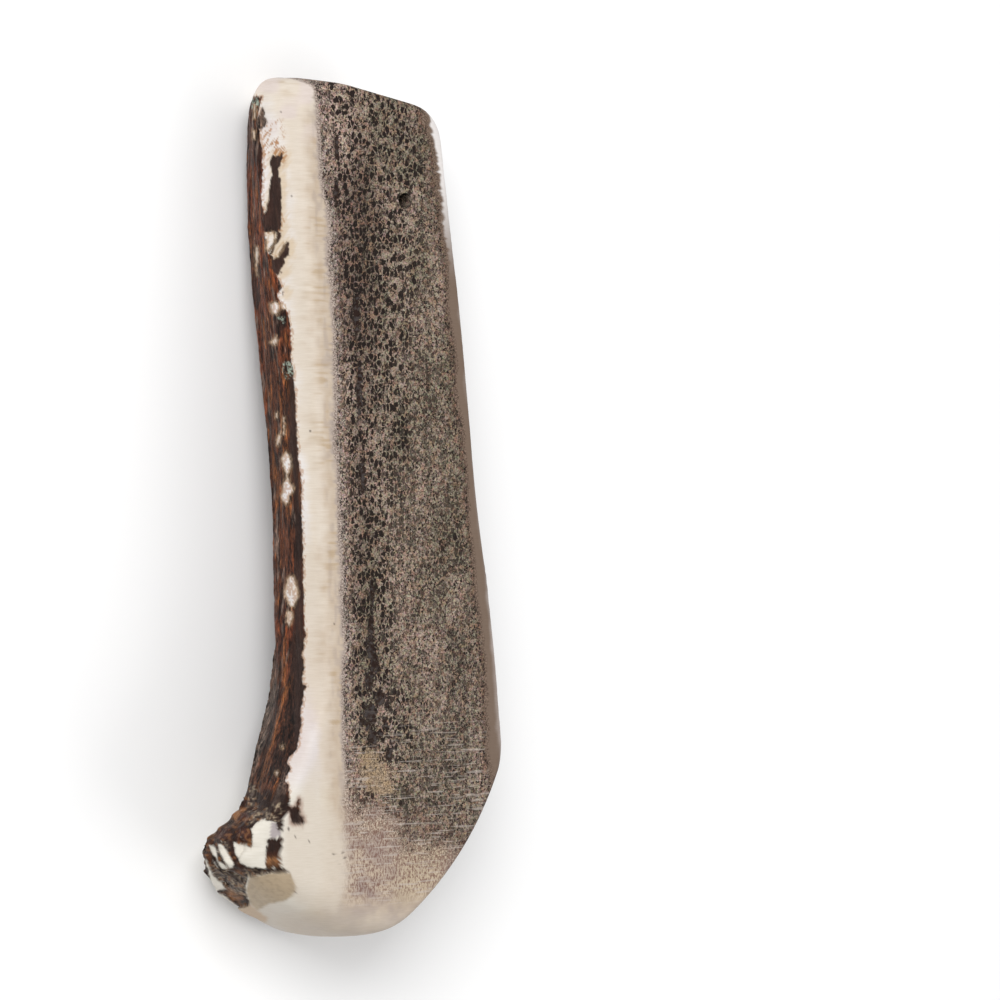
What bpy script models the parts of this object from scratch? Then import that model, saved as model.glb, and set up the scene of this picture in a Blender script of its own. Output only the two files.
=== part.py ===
"""Split red deer antler: the base of a shed antler, sawn in half lengthwise, sanded and drilled for a cord.

It is shaped in the antler's own frame. The sawn face is the plane z = 0 with the bone below it, +Y runs
from the base to the upper end, and +X points to the side where the brow tine was sawn off. The finished
solid is then laid down on its rounded back, as it rests on a table. Dimensions are in metres.
"""

import bmesh
import bpy
import numpy as np
from math import cos, pi, radians, sin, tau

MM = 0.001

# The beam: distance from the base, centre across, centre below the sawn face and radius, in mm
BEAM = np.array(
    (
        (-10, 4.5, 8.5, 27.0),
        (18, 4.5, 8.5, 27.0),
        (30, 4.6, 8.5, 27.0),
        (38, 5.0, 8.5, 26.8),
        (51, 6.4, 8.5, 25.4),
        (72, 5.6, 7.1, 23.9),
        (94, 3.4, 6.4, 22.9),
        (115, 1.6, 7.4, 22.4),
        (137, -0.5, 8.5, 22.2),
        (158, -2.7, 8.5, 21.7),
        (195, -5.6, 8.5, 20.1),
    )
) * MM
BACK_FLATTENING = 0.12  # share of the radius that the back lacks

# The burr, the ring of knobs round the base, and the flare of the beam towards it
BURR_HEIGHT = 8.8 * MM
BURR_HALF_WIDTH = 8.5 * MM  # towards the beam
BURR_HALF_WIDTH_BELOW = 15.0 * MM
BURR_ALONG = 21.0 * MM  # middle of the ring at the sawn face
BURR_LEAN = 0.2  # the ring runs down towards the base by this much for each unit of depth
FLARE_HEIGHT = 3.3 * MM
FLARE_HALF_WIDTH = 17.0 * MM
BACK_SHARE = 0.62  # of the burr and the flare, left on the back
KNOB_SIZE = 6.4 * MM
KNOB_STRETCH = 1.9  # length along the beam over width round it
KNOB_SKEW = 0.5

# The root of the brow tine, a swelling beside the saw cut that took the tine off
TINE_ROOT_HEIGHT = 5.0 * MM
TINE_ROOT_ALONG = 30.0 * MM
TINE_ROOT_HALF_WIDTH = 15.0 * MM
TINE_ROOT_ANGLE = radians(-32)
TINE_ROOT_SPREAD = radians(30)

# Gutters and ridges that run along the bark
GUTTER_SPACING = 6.0 * MM
GUTTER_LENGTH = 55.0 * MM
GUTTER_DEPTH = 1.3 * MM
GUTTER_WANDER = 1.8 * MM

# Saw cuts and sanding: each plane has an outward normal and a point on it
TOP_NORMAL = (0.187, 0.982, 0.0)
TOP_POINT = (-16.3 * MM, 184.4 * MM, 0.0)
TINE_NORMAL = (0.793, -0.602, 0.10)
TINE_POINT = (22.9 * MM, 17.1 * MM, -10.0 * MM)
TINE_DOME_RADIUS = 70.0 * MM
BASE_NORMAL = (-0.40, -0.915, 0.04)
BASE_POINT = (-6.0 * MM, -1.2 * MM, -16.0 * MM)
BASE_DOME_RADIUS = 160.0 * MM
DOME_REACH = 30.0 * MM  # beyond it a dome runs on as a plane
EDGE_SETBACK = 3.6 * MM  # from the sharp left edge of the sawn face to where its sanding starts
EDGE_SETBACK_AT_BURR = 1.3 * MM
EDGE_SLOPE = radians(43)
TOP_ROUNDING = 9.5 * MM
TOP_ROUNDING_ON_RIGHT = 7.0 * MM
EDGE_ROUNDING = 4.0 * MM
BASE_ROUNDING = 3.0 * MM
BASE_CORNER_ROUNDING = 9.4 * MM
SPLIT_ROUNDING = 1.4 * MM
SPLIT_ROUNDING_AT_BASE = 9.0 * MM
WEAR_HEIGHT = 1.2 * MM  # knobs are sanded off where they stand higher than this

# The hole drilled for a cord, square to the sawn face
HOLE_RADIUS = 1.75 * MM
HOLE_X = 6.0 * MM
HOLE_Y = 158.5 * MM
HOLE_SIDES = 20
HOLE_DEPTH = 60.0 * MM

# How the piece lies: the back is worn flat where it meets the table
REST_PITCH = radians(4.4)
REST_HEIGHT = 39.4 * MM  # of the sawn face over the table, at y = 0
FLOOR_ROUNDING = 0.6 * MM
ORIGIN_X = -1.16 * MM
ORIGIN_Y = 89.60 * MM

# The grid that wraps the solid: rings that start along the rim of the lower end, tilted as it is, and
# level out up the beam, then rings across each end
CUT_COLUMNS = 12
BACK_COLUMNS = 56
LOW_RINGS = 25
LOW_RING_CROWDING = 1.25
LEVEL_RINGS = 30
END_RINGS = (0.95, 0.86, 0.72, 0.55, 0.36, 0.18)
TOP_SIDE_RINGS = (0.22, 0.44, 0.64, 0.8, 0.92, 1.0)
FIRST_START = 18.0 * MM
LEVEL_START = 62.0 * MM
LAST_START = 168.0 * MM
AXIS_DEPTH = 2.0 * MM  # of the line that the rays start from, below the beam's centre
AXIS_SHIFT = 7.0 * MM  # to the left, at the base
RAY_LENGTH = 90.0 * MM
HALVINGS = 30

COMPACT_BONE = 4.8 * MM
COMPACT_BONE_SWING = 1.9 * MM


def along_beam(y, column):
    """A smooth curve through one column of BEAM."""
    stations = BEAM[:, 0]
    values = BEAM[:, column]
    slopes = np.gradient(values, stations)
    i = np.clip(np.searchsorted(stations, y) - 1, 0, len(stations) - 2)
    span = stations[i + 1] - stations[i]
    t = np.clip((y - stations[i]) / span, 0, 1)
    rise = values[i + 1] - values[i]
    bend = (slopes[i] * span - rise) * (1 - t) - (slopes[i + 1] * span - rise) * t
    return values[i] + rise * t + t * (1 - t) * bend


def chance(x, y, seed):
    """A repeatable number from 0 to 1 for each pair of whole numbers."""
    n = (x * 374761393 + y * 668265263 + seed * 974634777) & 0xFFFFFFFF
    n = ((n ^ (n >> 13)) * 1274126177) & 0xFFFFFFFF
    return ((n ^ (n >> 16)) & 0xFFFF) / 0xFFFF


def noise(x, y, seed):
    """Smooth noise from -1 to 1 over two coordinates."""
    left = np.floor(x).astype(np.int64)
    low = np.floor(y).astype(np.int64)
    u = x - left
    v = y - low
    u = u * u * (3 - 2 * u)
    v = v * v * (3 - 2 * v)
    bottom = chance(left, low, seed) * (1 - u) + chance(left + 1, low, seed) * u
    top = chance(left, low + 1, seed) * (1 - u) + chance(left + 1, low + 1, seed) * u
    return 2 * (bottom * (1 - v) + top * v) - 1


def knobs(x, y, seed):
    """Round-topped lumps, from 0 in the furrows to 1, one in each cell of a jittered grid."""
    left = np.floor(x).astype(np.int64)
    low = np.floor(y).astype(np.int64)
    nearest = np.full(np.shape(x), 9.0)
    for i in (-1, 0, 1):
        for j in (-1, 0, 1):
            centre_x = left + i + 0.2 + 0.6 * chance(left + i, low + j, seed)
            centre_y = low + j + 0.2 + 0.6 * chance(left + i, low + j, seed + 1)
            nearest = np.minimum(nearest, (x - centre_x) ** 2 + (y - centre_y) ** 2)
    return np.clip(1 - nearest / 0.5, 0, 1)


def smooth_max(a, b, rounding):
    """The larger of two distances, with the edge between the surfaces rounded off."""
    near = np.clip(1 - np.abs(a - b) / rounding, 0, None)
    return np.maximum(a, b) + rounding * near * near / 4


def smooth_step(low, high, value):
    t = np.clip((value - low) / (high - low), 0, 1)
    return t * t * (3 - 2 * t)


def polar(p):
    """Distance from the beam's centre line and angle round it, which is 0 at +X and a quarter turn at +Z."""
    across = p[:, 0] - along_beam(p[:, 1], 1)
    up = p[:, 2] + along_beam(p[:, 1], 2)
    return np.hypot(across, up), np.arctan2(up, across)


def beam_radius(angle, y):
    """The beam alone, flattened on its back, with the tine's root."""
    back = np.clip(-np.sin(angle), 0, None) ** 4
    turn = (angle - TINE_ROOT_ANGLE) / TINE_ROOT_SPREAD
    step = (y - TINE_ROOT_ALONG) / TINE_ROOT_HALF_WIDTH
    root = TINE_ROOT_HEIGHT * np.exp(-turn * turn - step * step)
    return along_beam(y, 3) * (1 - BACK_FLATTENING * back) + root


def burr_ring(above):
    """The burr's profile along the beam, from 0 to 1 at its middle."""
    width = np.where(above > 0, BURR_HALF_WIDTH, BURR_HALF_WIDTH_BELOW)
    return np.exp(-((above / width) ** 2))


def burr(angle, y, depth):
    """Height of the burr and its flare over the beam, before the knobs."""
    back = np.clip(-np.sin(angle), 0, None) ** 2
    share = 1 - (1 - BACK_SHARE) * back
    above = y - BURR_ALONG + BURR_LEAN * depth
    flare = np.exp(-((above / FLARE_HALF_WIDTH) ** 2))
    return share * BURR_HEIGHT * burr_ring(above), share * FLARE_HEIGHT * flare


def bark_relief(angle, y, depth):
    """Height of the bark's ridges, gutters and knobs, about zero."""
    radius = along_beam(y, 3)
    around = np.mod(angle, tau) * radius
    wander = GUTTER_WANDER * noise(around / GUTTER_LENGTH, y / GUTTER_LENGTH, 5)
    ridge = noise((around + wander) / GUTTER_SPACING, y / GUTTER_LENGTH, 11)
    gutters = GUTTER_DEPTH * (0.45 - np.abs(ridge))
    above = y - BURR_ALONG + BURR_LEAN * depth
    ring = burr_ring(above)
    lumps = knobs((around - KNOB_SKEW * above) / KNOB_SIZE, above / (KNOB_SIZE * KNOB_STRETCH), 23)
    return gutters * (1 - ring) + ring * BURR_HEIGHT * 0.55 * (lumps - 0.55)


def natural(p):
    """Signed distance, about, from the antler as it grew."""
    distance, angle = polar(p)
    ring, flare = burr(angle, p[:, 1], -p[:, 2])
    smooth = distance - beam_radius(angle, p[:, 1]) - ring - flare
    rough = smooth - bark_relief(angle, p[:, 1], -p[:, 2])
    return np.maximum(rough, smooth - WEAR_HEIGHT)


def plane(p, normal, point):
    unit = np.array(normal) / np.linalg.norm(normal)
    return (p - np.array(point)) @ unit


def sanded_edge(p):
    """The slope sanded along the left edge of the sawn face."""
    y = p[:, 1]
    ring, flare = burr(pi, y, 0)
    corner = along_beam(y, 1) - np.sqrt((along_beam(y, 3) + ring + flare) ** 2 - along_beam(y, 2) ** 2)
    at_burr = smooth_step(52 * MM, 36 * MM, y)
    setback = EDGE_SETBACK + (EDGE_SETBACK_AT_BURR - EDGE_SETBACK) * at_burr
    return (corner + setback - p[:, 0]) * sin(EDGE_SLOPE) + p[:, 2] * cos(EDGE_SLOPE)


def dome(p, normal, apex, radius):
    """A sawn end that sanding has left slightly rounded."""
    height = plane(p, normal, apex)
    aside = np.sum((p - np.array(apex)) ** 2, axis=1) - height**2
    return height + np.minimum(aside, DOME_REACH**2) / (2 * radius)


def sawn_tine(p):
    return dome(p, TINE_NORMAL, TINE_POINT, TINE_DOME_RADIUS)


def sanded_base(p):
    return dome(p, BASE_NORMAL, BASE_POINT, BASE_DOME_RADIUS)


def lower_end(p):
    """The base and the saw cut that took the tine off, which meet in a rounded corner."""
    return smooth_max(sanded_base(p), sawn_tine(p), BASE_CORNER_ROUNDING)


def top_end(p):
    return plane(p, TOP_NORMAL, TOP_POINT)


def sides(p):
    """The antler with its sanded edge, but endless."""
    return smooth_max(natural(p), sanded_edge(p), EDGE_ROUNDING)


def split_beam(p):
    """The antler split and worn, but endless."""
    return np.maximum(np.maximum(sides(p), p[:, 2]), floor(p))


def floor(p):
    """The table, as the piece lies on it."""
    return -(p[:, 2] + REST_HEIGHT) * cos(REST_PITCH) + p[:, 1] * sin(REST_PITCH)


def solid(p):
    """Signed distance, about, from the finished piece: negative inside it."""
    on_right = smooth_step(-12 * MM, 8 * MM, p[:, 0])
    top_rounding = TOP_ROUNDING + (TOP_ROUNDING_ON_RIGHT - TOP_ROUNDING) * on_right
    shape = smooth_max(sides(p), top_end(p), top_rounding)
    shape = smooth_max(shape, lower_end(p), BASE_ROUNDING)
    soft = smooth_step(26 * MM, 6 * MM, p[:, 1]) * smooth_step(4 * MM, -12 * MM, p[:, 0])
    split = SPLIT_ROUNDING + (SPLIT_ROUNDING_AT_BASE - SPLIT_ROUNDING) * soft
    shape = smooth_max(shape, p[:, 2], split)
    return smooth_max(shape, floor(p), FLOOR_ROUNDING)


def axis_points(y):
    """Points on the line that the rays start from."""
    shift = AXIS_SHIFT * smooth_step(LEVEL_START, FIRST_START, y)
    return np.stack([along_beam(y, 1) - shift, y, -along_beam(y, 2) - AXIS_DEPTH], axis=-1)


def cast(shape, origins, directions):
    """Where rays leave a shape, which is given by its signed distance."""
    near = np.zeros(len(origins))
    far = np.full(len(origins), RAY_LENGTH)
    for _ in range(HALVINGS):
        middle = (near + far) / 2
        inside = shape(origins + directions * middle[:, None]) < 0
        near = np.where(inside, middle, near)
        far = np.where(inside, far, middle)
    return origins + directions * near[:, None]


def edge_slope(origins, leans, side):
    """The sideways run per unit of rise of the ray that meets a side edge of the sawn face."""
    rise = -origins[:, 2]
    y = np.clip(origins[:, 1] + rise * np.tan(leans), 2 * MM, 183 * MM)
    near = np.zeros(len(origins))
    far = np.full(len(origins), 60 * MM)
    for _ in range(HALVINGS):
        middle = (near + far) / 2
        edge = np.stack([origins[:, 0] + side * middle, y, np.zeros(len(origins))], axis=1)
        inside = sides(edge) < 0
        near = np.where(inside, middle, near)
        far = np.where(inside, far, middle)
    return side * near / rise


def ray_directions(origins, leans, columns):
    """Directions of the rays, with a column along each side edge of the sawn face."""
    right = edge_slope(origins, leans, 1)
    left = edge_slope(origins, leans, -1)
    share = np.clip(columns / CUT_COLUMNS, 0, 1)
    face = np.arctan2(1, right + (left - right) * share)
    first = np.arctan2(1, left)
    last = np.arctan2(1, right) + tau
    turn = np.clip((columns - CUT_COLUMNS) / BACK_COLUMNS, 0, 1)
    angles = np.where(columns <= CUT_COLUMNS, face, first + (last - first) * turn)
    level = np.cos(leans)
    return np.stack([np.cos(angles) * level, np.sin(leans), np.sin(angles) * level], axis=1)


def rim_leans(start, end, inside_lean, outside_lean, columns):
    """How far each column's ray leans to meet the rim of an end."""
    origins = axis_points(np.full(len(columns), start))
    near = np.full(len(columns), inside_lean)
    far = np.full(len(columns), outside_lean)
    for _ in range(18):
        middle = (near + far) / 2
        rim = cast(split_beam, origins, ray_directions(origins, middle, columns))
        inside = end(rim) < 0
        near = np.where(inside, middle, near)
        far = np.where(inside, far, middle)
    return near


def grid_points():
    """Points on the solid, ring by ring from the base to the top, and a point for each end."""
    columns = np.arange(CUT_COLUMNS + BACK_COLUMNS)
    low = rim_leans(FIRST_START, lower_end, radians(60), radians(-80), columns)
    high = np.tan(rim_leans(LAST_START, top_end, radians(-30), radians(80), columns))
    share = np.linspace(0, 1, LOW_RINGS, endpoint=False) ** LOW_RING_CROWDING
    rings = [(FIRST_START + (LEVEL_START - FIRST_START) * s, low * (1 - s)) for s in share]
    level = np.zeros(len(columns))
    rings += [(start, level) for start in np.linspace(LEVEL_START, LAST_START, LEVEL_RINGS)]
    rings += [(LAST_START, np.arctan(high * s)) for s in TOP_SIDE_RINGS]
    starts = np.concatenate([np.full(len(columns), start) for start, _ in rings])
    leans = np.concatenate([lean for _, lean in rings])
    origins = axis_points(starts)
    directions = ray_directions(origins, leans, np.tile(columns, len(rings)))
    rows = list(cast(solid, origins, directions).reshape(len(rings), len(columns), 3))
    tips = []
    for start, rim, way in ((FIRST_START, rows[0], -1.0), (LAST_START, rows[-1], 1.0)):
        origin = axis_points(np.array([start]))
        tip = cast(solid, origin, np.array([[0.0, way, 0.0]]))
        tips.append(tip[0])
        ends = []
        for s in END_RINGS:
            aim = tip + (rim - tip) * s - origin
            aim /= np.linalg.norm(aim, axis=1)[:, None]
            ends.append(cast(solid, np.repeat(origin, len(columns), axis=0), aim))
        rows = ends[::-1] + rows if way < 0 else rows + ends
    return np.array(rows), tips


def wrapped_mesh(name):
    """A closed grid of rings round the beam, with a point at each end."""
    grid, tips = grid_points()
    rows, columns = grid.shape[:2]
    points = grid.reshape(-1, 3)
    bm = bmesh.new()
    ring_verts = [bm.verts.new(p) for p in points]
    first, last = (bm.verts.new(p) for p in tips)
    for r in range(rows - 1):
        for c in range(columns):
            d = (c + 1) % columns
            corners = (r * columns + c, r * columns + d, (r + 1) * columns + d, (r + 1) * columns + c)
            bm.faces.new([ring_verts[i] for i in corners])
    for c in range(columns):
        d = (c + 1) % columns
        bm.faces.new((first, ring_verts[d], ring_verts[c]))
        top = (rows - 1) * columns
        bm.faces.new((last, ring_verts[top + c], ring_verts[top + d]))
    bmesh.ops.recalc_face_normals(bm, faces=bm.faces)
    mesh = bpy.data.meshes.new(name)
    bm.to_mesh(mesh)
    bm.free()
    return mesh


def material(name, colour, roughness):
    made = bpy.data.materials.new(name)
    made.use_nodes = True
    shader = made.node_tree.nodes["Principled BSDF"]
    shader.inputs["Base Color"].default_value = (*colour, 1)
    shader.inputs["Roughness"].default_value = roughness
    shader.inputs["Metallic"].default_value = 0.0
    return made


def colour_faces(mesh):
    """Bark where the antler's own surface is left, spongy marrow inside, and white compact bone between."""
    mesh.materials.append(material("compact_bone", (0.72, 0.64, 0.52), 0.45))
    mesh.materials.append(material("bark", (0.075, 0.034, 0.02), 0.6))
    mesh.materials.append(material("marrow", (0.14, 0.11, 0.085), 0.85))
    centres = np.array([face.center for face in mesh.polygons])
    distance, angle = polar(centres)
    core = beam_radius(angle, centres[:, 1]) - COMPACT_BONE + COMPACT_BONE_SWING * np.cos(angle)
    is_bark = natural(centres) > -0.5 * MM
    is_marrow = (distance < core) & (centres[:, 1] > 18 * MM)
    slots = np.where(is_bark, 1, np.where(is_marrow, 2, 0)).astype(np.int32)
    mesh.polygons.foreach_set("material_index", slots)


def drill(target):
    """Cuts the cord's hole."""
    bpy.ops.mesh.primitive_cylinder_add(
        vertices=HOLE_SIDES,
        radius=HOLE_RADIUS,
        depth=2 * HOLE_DEPTH,
        location=(HOLE_X, HOLE_Y, 0),
    )
    drill_bit = bpy.context.object
    drill_bit.name = "drill_bit"
    drill_bit.hide_render = True
    drill_bit.display_type = "WIRE"
    cut = target.modifiers.new("cord_hole", "BOOLEAN")
    cut.operation = "DIFFERENCE"
    cut.object = drill_bit
    return drill_bit


def main():
    for obj in list(bpy.data.objects):
        bpy.data.objects.remove(obj)
    mesh = wrapped_mesh("antler")
    colour_faces(mesh)
    antler = bpy.data.objects.new("antler", mesh)
    bpy.context.scene.collection.objects.link(antler)
    mesh.shade_smooth()
    mesh.set_sharp_from_angle(angle=radians(40))
    drill_bit = drill(antler)
    rest = bpy.data.objects.new("rest", None)
    bpy.context.scene.collection.objects.link(rest)
    antler.parent = rest
    drill_bit.parent = rest
    rest.rotation_euler.x = -REST_PITCH
    rest.location = (
        -ORIGIN_X,
        -ORIGIN_Y,
        REST_HEIGHT * cos(REST_PITCH),
    )


main()
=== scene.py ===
"""The look of the split red deer antler: its bark, burr, sanded bone and marrow, on a pale floor.

The antler's surface is worked out again from the same named sizes as in the source, on a much finer
grid, and gets the fine relief and the colours.
"""

from math import cos, pi, radians, sin, tau

import bpy
import numpy as np
from mathutils import Matrix, Vector


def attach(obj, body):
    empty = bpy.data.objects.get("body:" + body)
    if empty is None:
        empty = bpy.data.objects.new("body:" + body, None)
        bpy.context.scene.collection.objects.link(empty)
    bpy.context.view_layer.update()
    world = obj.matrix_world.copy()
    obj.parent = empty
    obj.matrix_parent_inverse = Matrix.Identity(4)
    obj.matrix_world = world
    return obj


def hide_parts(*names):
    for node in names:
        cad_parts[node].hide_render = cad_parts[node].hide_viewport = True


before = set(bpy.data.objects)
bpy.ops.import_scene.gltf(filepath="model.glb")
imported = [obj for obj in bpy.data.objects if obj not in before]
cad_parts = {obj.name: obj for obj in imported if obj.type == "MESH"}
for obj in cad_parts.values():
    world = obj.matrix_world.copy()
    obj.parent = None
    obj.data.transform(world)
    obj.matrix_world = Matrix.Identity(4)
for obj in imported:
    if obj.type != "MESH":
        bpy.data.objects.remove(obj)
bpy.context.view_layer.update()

MM = 0.001

# The beam: distance from the base, centre across, centre below the sawn face and radius, in mm
BEAM = np.array(
    (
        (-10, 4.5, 8.5, 27.0),
        (18, 4.5, 8.5, 27.0),
        (30, 4.6, 8.5, 27.0),
        (38, 5.0, 8.5, 26.8),
        (51, 6.4, 8.5, 25.4),
        (72, 5.6, 7.1, 23.9),
        (94, 3.4, 6.4, 22.9),
        (115, 1.6, 7.4, 22.4),
        (137, -0.5, 8.5, 22.2),
        (158, -2.7, 8.5, 21.7),
        (195, -5.6, 8.5, 20.1),
    )
) * MM
BACK_FLATTENING = 0.12  # share of the radius that the back lacks

# The burr, the ring of knobs round the base, and the flare of the beam towards it
BURR_HEIGHT = 8.8 * MM
BURR_HALF_WIDTH = 8.5 * MM  # towards the beam
BURR_HALF_WIDTH_BELOW = 15.0 * MM
BURR_ALONG = 21.0 * MM  # middle of the ring at the sawn face
BURR_LEAN = 0.2  # the ring runs down towards the base by this much for each unit of depth
FLARE_HEIGHT = 3.3 * MM
FLARE_HALF_WIDTH = 17.0 * MM
BACK_SHARE = 0.62  # of the burr and the flare, left on the back
KNOB_SIZE = 6.4 * MM
KNOB_STRETCH = 1.9  # length along the beam over width round it
KNOB_SKEW = 0.5

# The root of the brow tine, a swelling beside the saw cut that took the tine off
TINE_ROOT_HEIGHT = 5.0 * MM
TINE_ROOT_ALONG = 30.0 * MM
TINE_ROOT_HALF_WIDTH = 15.0 * MM
TINE_ROOT_ANGLE = radians(-32)
TINE_ROOT_SPREAD = radians(30)

# Gutters and ridges that run along the bark
GUTTER_SPACING = 6.0 * MM
GUTTER_LENGTH = 55.0 * MM
GUTTER_DEPTH = 1.3 * MM
GUTTER_WANDER = 1.8 * MM

# Saw cuts and sanding: each plane has an outward normal and a point on it
TOP_NORMAL = (0.187, 0.982, 0.0)
TOP_POINT = (-16.3 * MM, 184.4 * MM, 0.0)
TINE_NORMAL = (0.793, -0.602, 0.10)
TINE_POINT = (22.9 * MM, 17.1 * MM, -10.0 * MM)
TINE_DOME_RADIUS = 70.0 * MM
BASE_NORMAL = (-0.40, -0.915, 0.04)
BASE_POINT = (-6.0 * MM, -1.2 * MM, -16.0 * MM)
BASE_DOME_RADIUS = 160.0 * MM
DOME_REACH = 30.0 * MM  # beyond it a dome runs on as a plane
EDGE_SETBACK = 3.6 * MM  # from the sharp left edge of the sawn face to where its sanding starts
EDGE_SETBACK_AT_BURR = 1.3 * MM
EDGE_SLOPE = radians(43)
TOP_ROUNDING = 9.5 * MM
TOP_ROUNDING_ON_RIGHT = 7.0 * MM
EDGE_ROUNDING = 4.0 * MM
BASE_ROUNDING = 3.0 * MM
BASE_CORNER_ROUNDING = 9.4 * MM
SPLIT_ROUNDING = 1.4 * MM
SPLIT_ROUNDING_AT_BASE = 9.0 * MM
WEAR_HEIGHT = 1.2 * MM  # knobs are sanded off where they stand higher than this

# The hole drilled for a cord, square to the sawn face
HOLE_RADIUS = 1.75 * MM
HOLE_X = 6.0 * MM
HOLE_Y = 158.5 * MM
HOLE_SIDES = 20
HOLE_DEPTH = 60.0 * MM

# How the piece lies: the back is worn flat where it meets the table
REST_PITCH = radians(4.4)
REST_HEIGHT = 39.4 * MM  # of the sawn face over the table, at y = 0
FLOOR_ROUNDING = 0.6 * MM
ORIGIN_X = -1.16 * MM
ORIGIN_Y = 89.60 * MM

# The fine grid
CUT_COLUMNS = 112
NEAR_BACK_COLUMNS = 180  # on the left, as far round as the camera sees
FAR_BACK_COLUMNS = 66
NEAR_BACK_SHARE = 0.38
BACK_COLUMNS = NEAR_BACK_COLUMNS + FAR_BACK_COLUMNS
LOW_RINGS = 220
LOW_RING_CROWDING = 1.15
LEVEL_RINGS = 450
TOP_SIDE_RINGS = 50
LOW_END_RINGS = 60
TOP_END_RINGS = 46
FIRST_START = 18.0 * MM
LEVEL_START = 62.0 * MM
LAST_START = 168.0 * MM
AXIS_DEPTH = 2.0 * MM  # of the line that the rays start from, below the beam's centre
AXIS_SHIFT = 7.0 * MM  # to the left, at the base
RAY_LENGTH = 60.0 * MM
BARK_PARTED_AT = 88.0 * MM  # where the finely gridded bark is parted into two pieces; the bark is too fine for one piece
HALVINGS = 19

# The camera
VIEW_TURN = radians(35)  # the camera looks down from the left of the sawn face by this much
VIEW_DISTANCE = 0.896
VIEW_WIDTH = 0.215  # of what the picture shows at the sawn face
VIEW_ACROSS = 25.3 * MM  # from the antler's own origin to the middle of the picture
VIEW_ALONG = 93.95 * MM
SENSOR = 36.0

# Colours, as seen in daylight
PAPER_WHITE = 0.8  # share of the light that a colour of 255 sends back
BARK = (92, 50, 28)
BARK_RED = (114, 56, 28)
BARK_DARK = (40, 20, 12)
BARK_AMBER_AND_HIGHLIGHT = (144, 86, 44)
BARK_GREY = (116, 98, 88)
ISLAND = (54, 36, 30)
LEAF = (104, 90, 80)
CREAM_YELLOW = (224, 209, 188)
CREAM_LOW = (225, 213, 198)
ROSE = (226, 214, 210)
FLAT = (236, 230, 218)
SCRATCH_BROWN = (178, 126, 78)
BLUSH = (226, 212, 206)
GOLD_AND_HIGHLIGHT = (176, 122, 78)
BROWN_LOBE_AND_SHADE = (84, 46, 34)
CREAM = (239, 234, 232)
WARM = (206, 187, 166)
OCHRE = (184, 156, 118)
HALO = (220, 198, 168)
EDGE_OF_MARROW = (184, 169, 159)
WALLS_PINK = (198, 176, 161)
WALLS_OLIVE = (146, 136, 118)
WALLS_PALE = (147, 135, 121)
# a darker tone of the marrow, also laid on as the painted shadow of the tag that hung on the cord, which is not built
DARK_STREAK_AND_TAG_SHADOW = (92, 76, 68)
PORE_SHADE = (30, 21, 18)
PIT = (126, 92, 80)
HOLLOW_SHADE_GREY = (72, 66, 65)
WALL_BROWN = (158, 124, 102)
MAUVE = (170, 151, 142)
YELLOW_CREAM = (208, 190, 162)
BASE_GREY_AND_SHADE = (206, 194, 180)
SHADED_RIM_TAN = (126, 107, 93)
OLIVE = (188, 168, 141)
LICHEN = (168, 182, 166)
LILAC_GREY = (184, 174, 174)
ASH = (122, 108, 98)
BLACK = (42, 26, 20)
TAN = (196, 166, 132)
STAIN = (158, 116, 96)
SAWN_LIGHT = (206, 194, 184)

# Where the marrow starts and ends across the sawn face: along the antler, left and right, in mm
MARROW_SIDES = np.array(
    (
        (0.0, -9.8, 31.0),
        (23.0, -9.8, 30.0),
        (38.0, -9.8, 28.0),
        (51.0, -9.8, 27.4),
        (72.5, -10.4, 25.4),
        (94.0, -11.2, 22.7),
        (115.5, -12.2, 20.3),
        (137.0, -13.0, 17.7),
        (147.7, -13.8, 16.6),
        (158.5, -14.6, 15.2),
        (169.2, -15.6, 13.2),
        (177.8, -16.5, 11.0),
        (186.0, -16.9, 9.0),
    )
)

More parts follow.
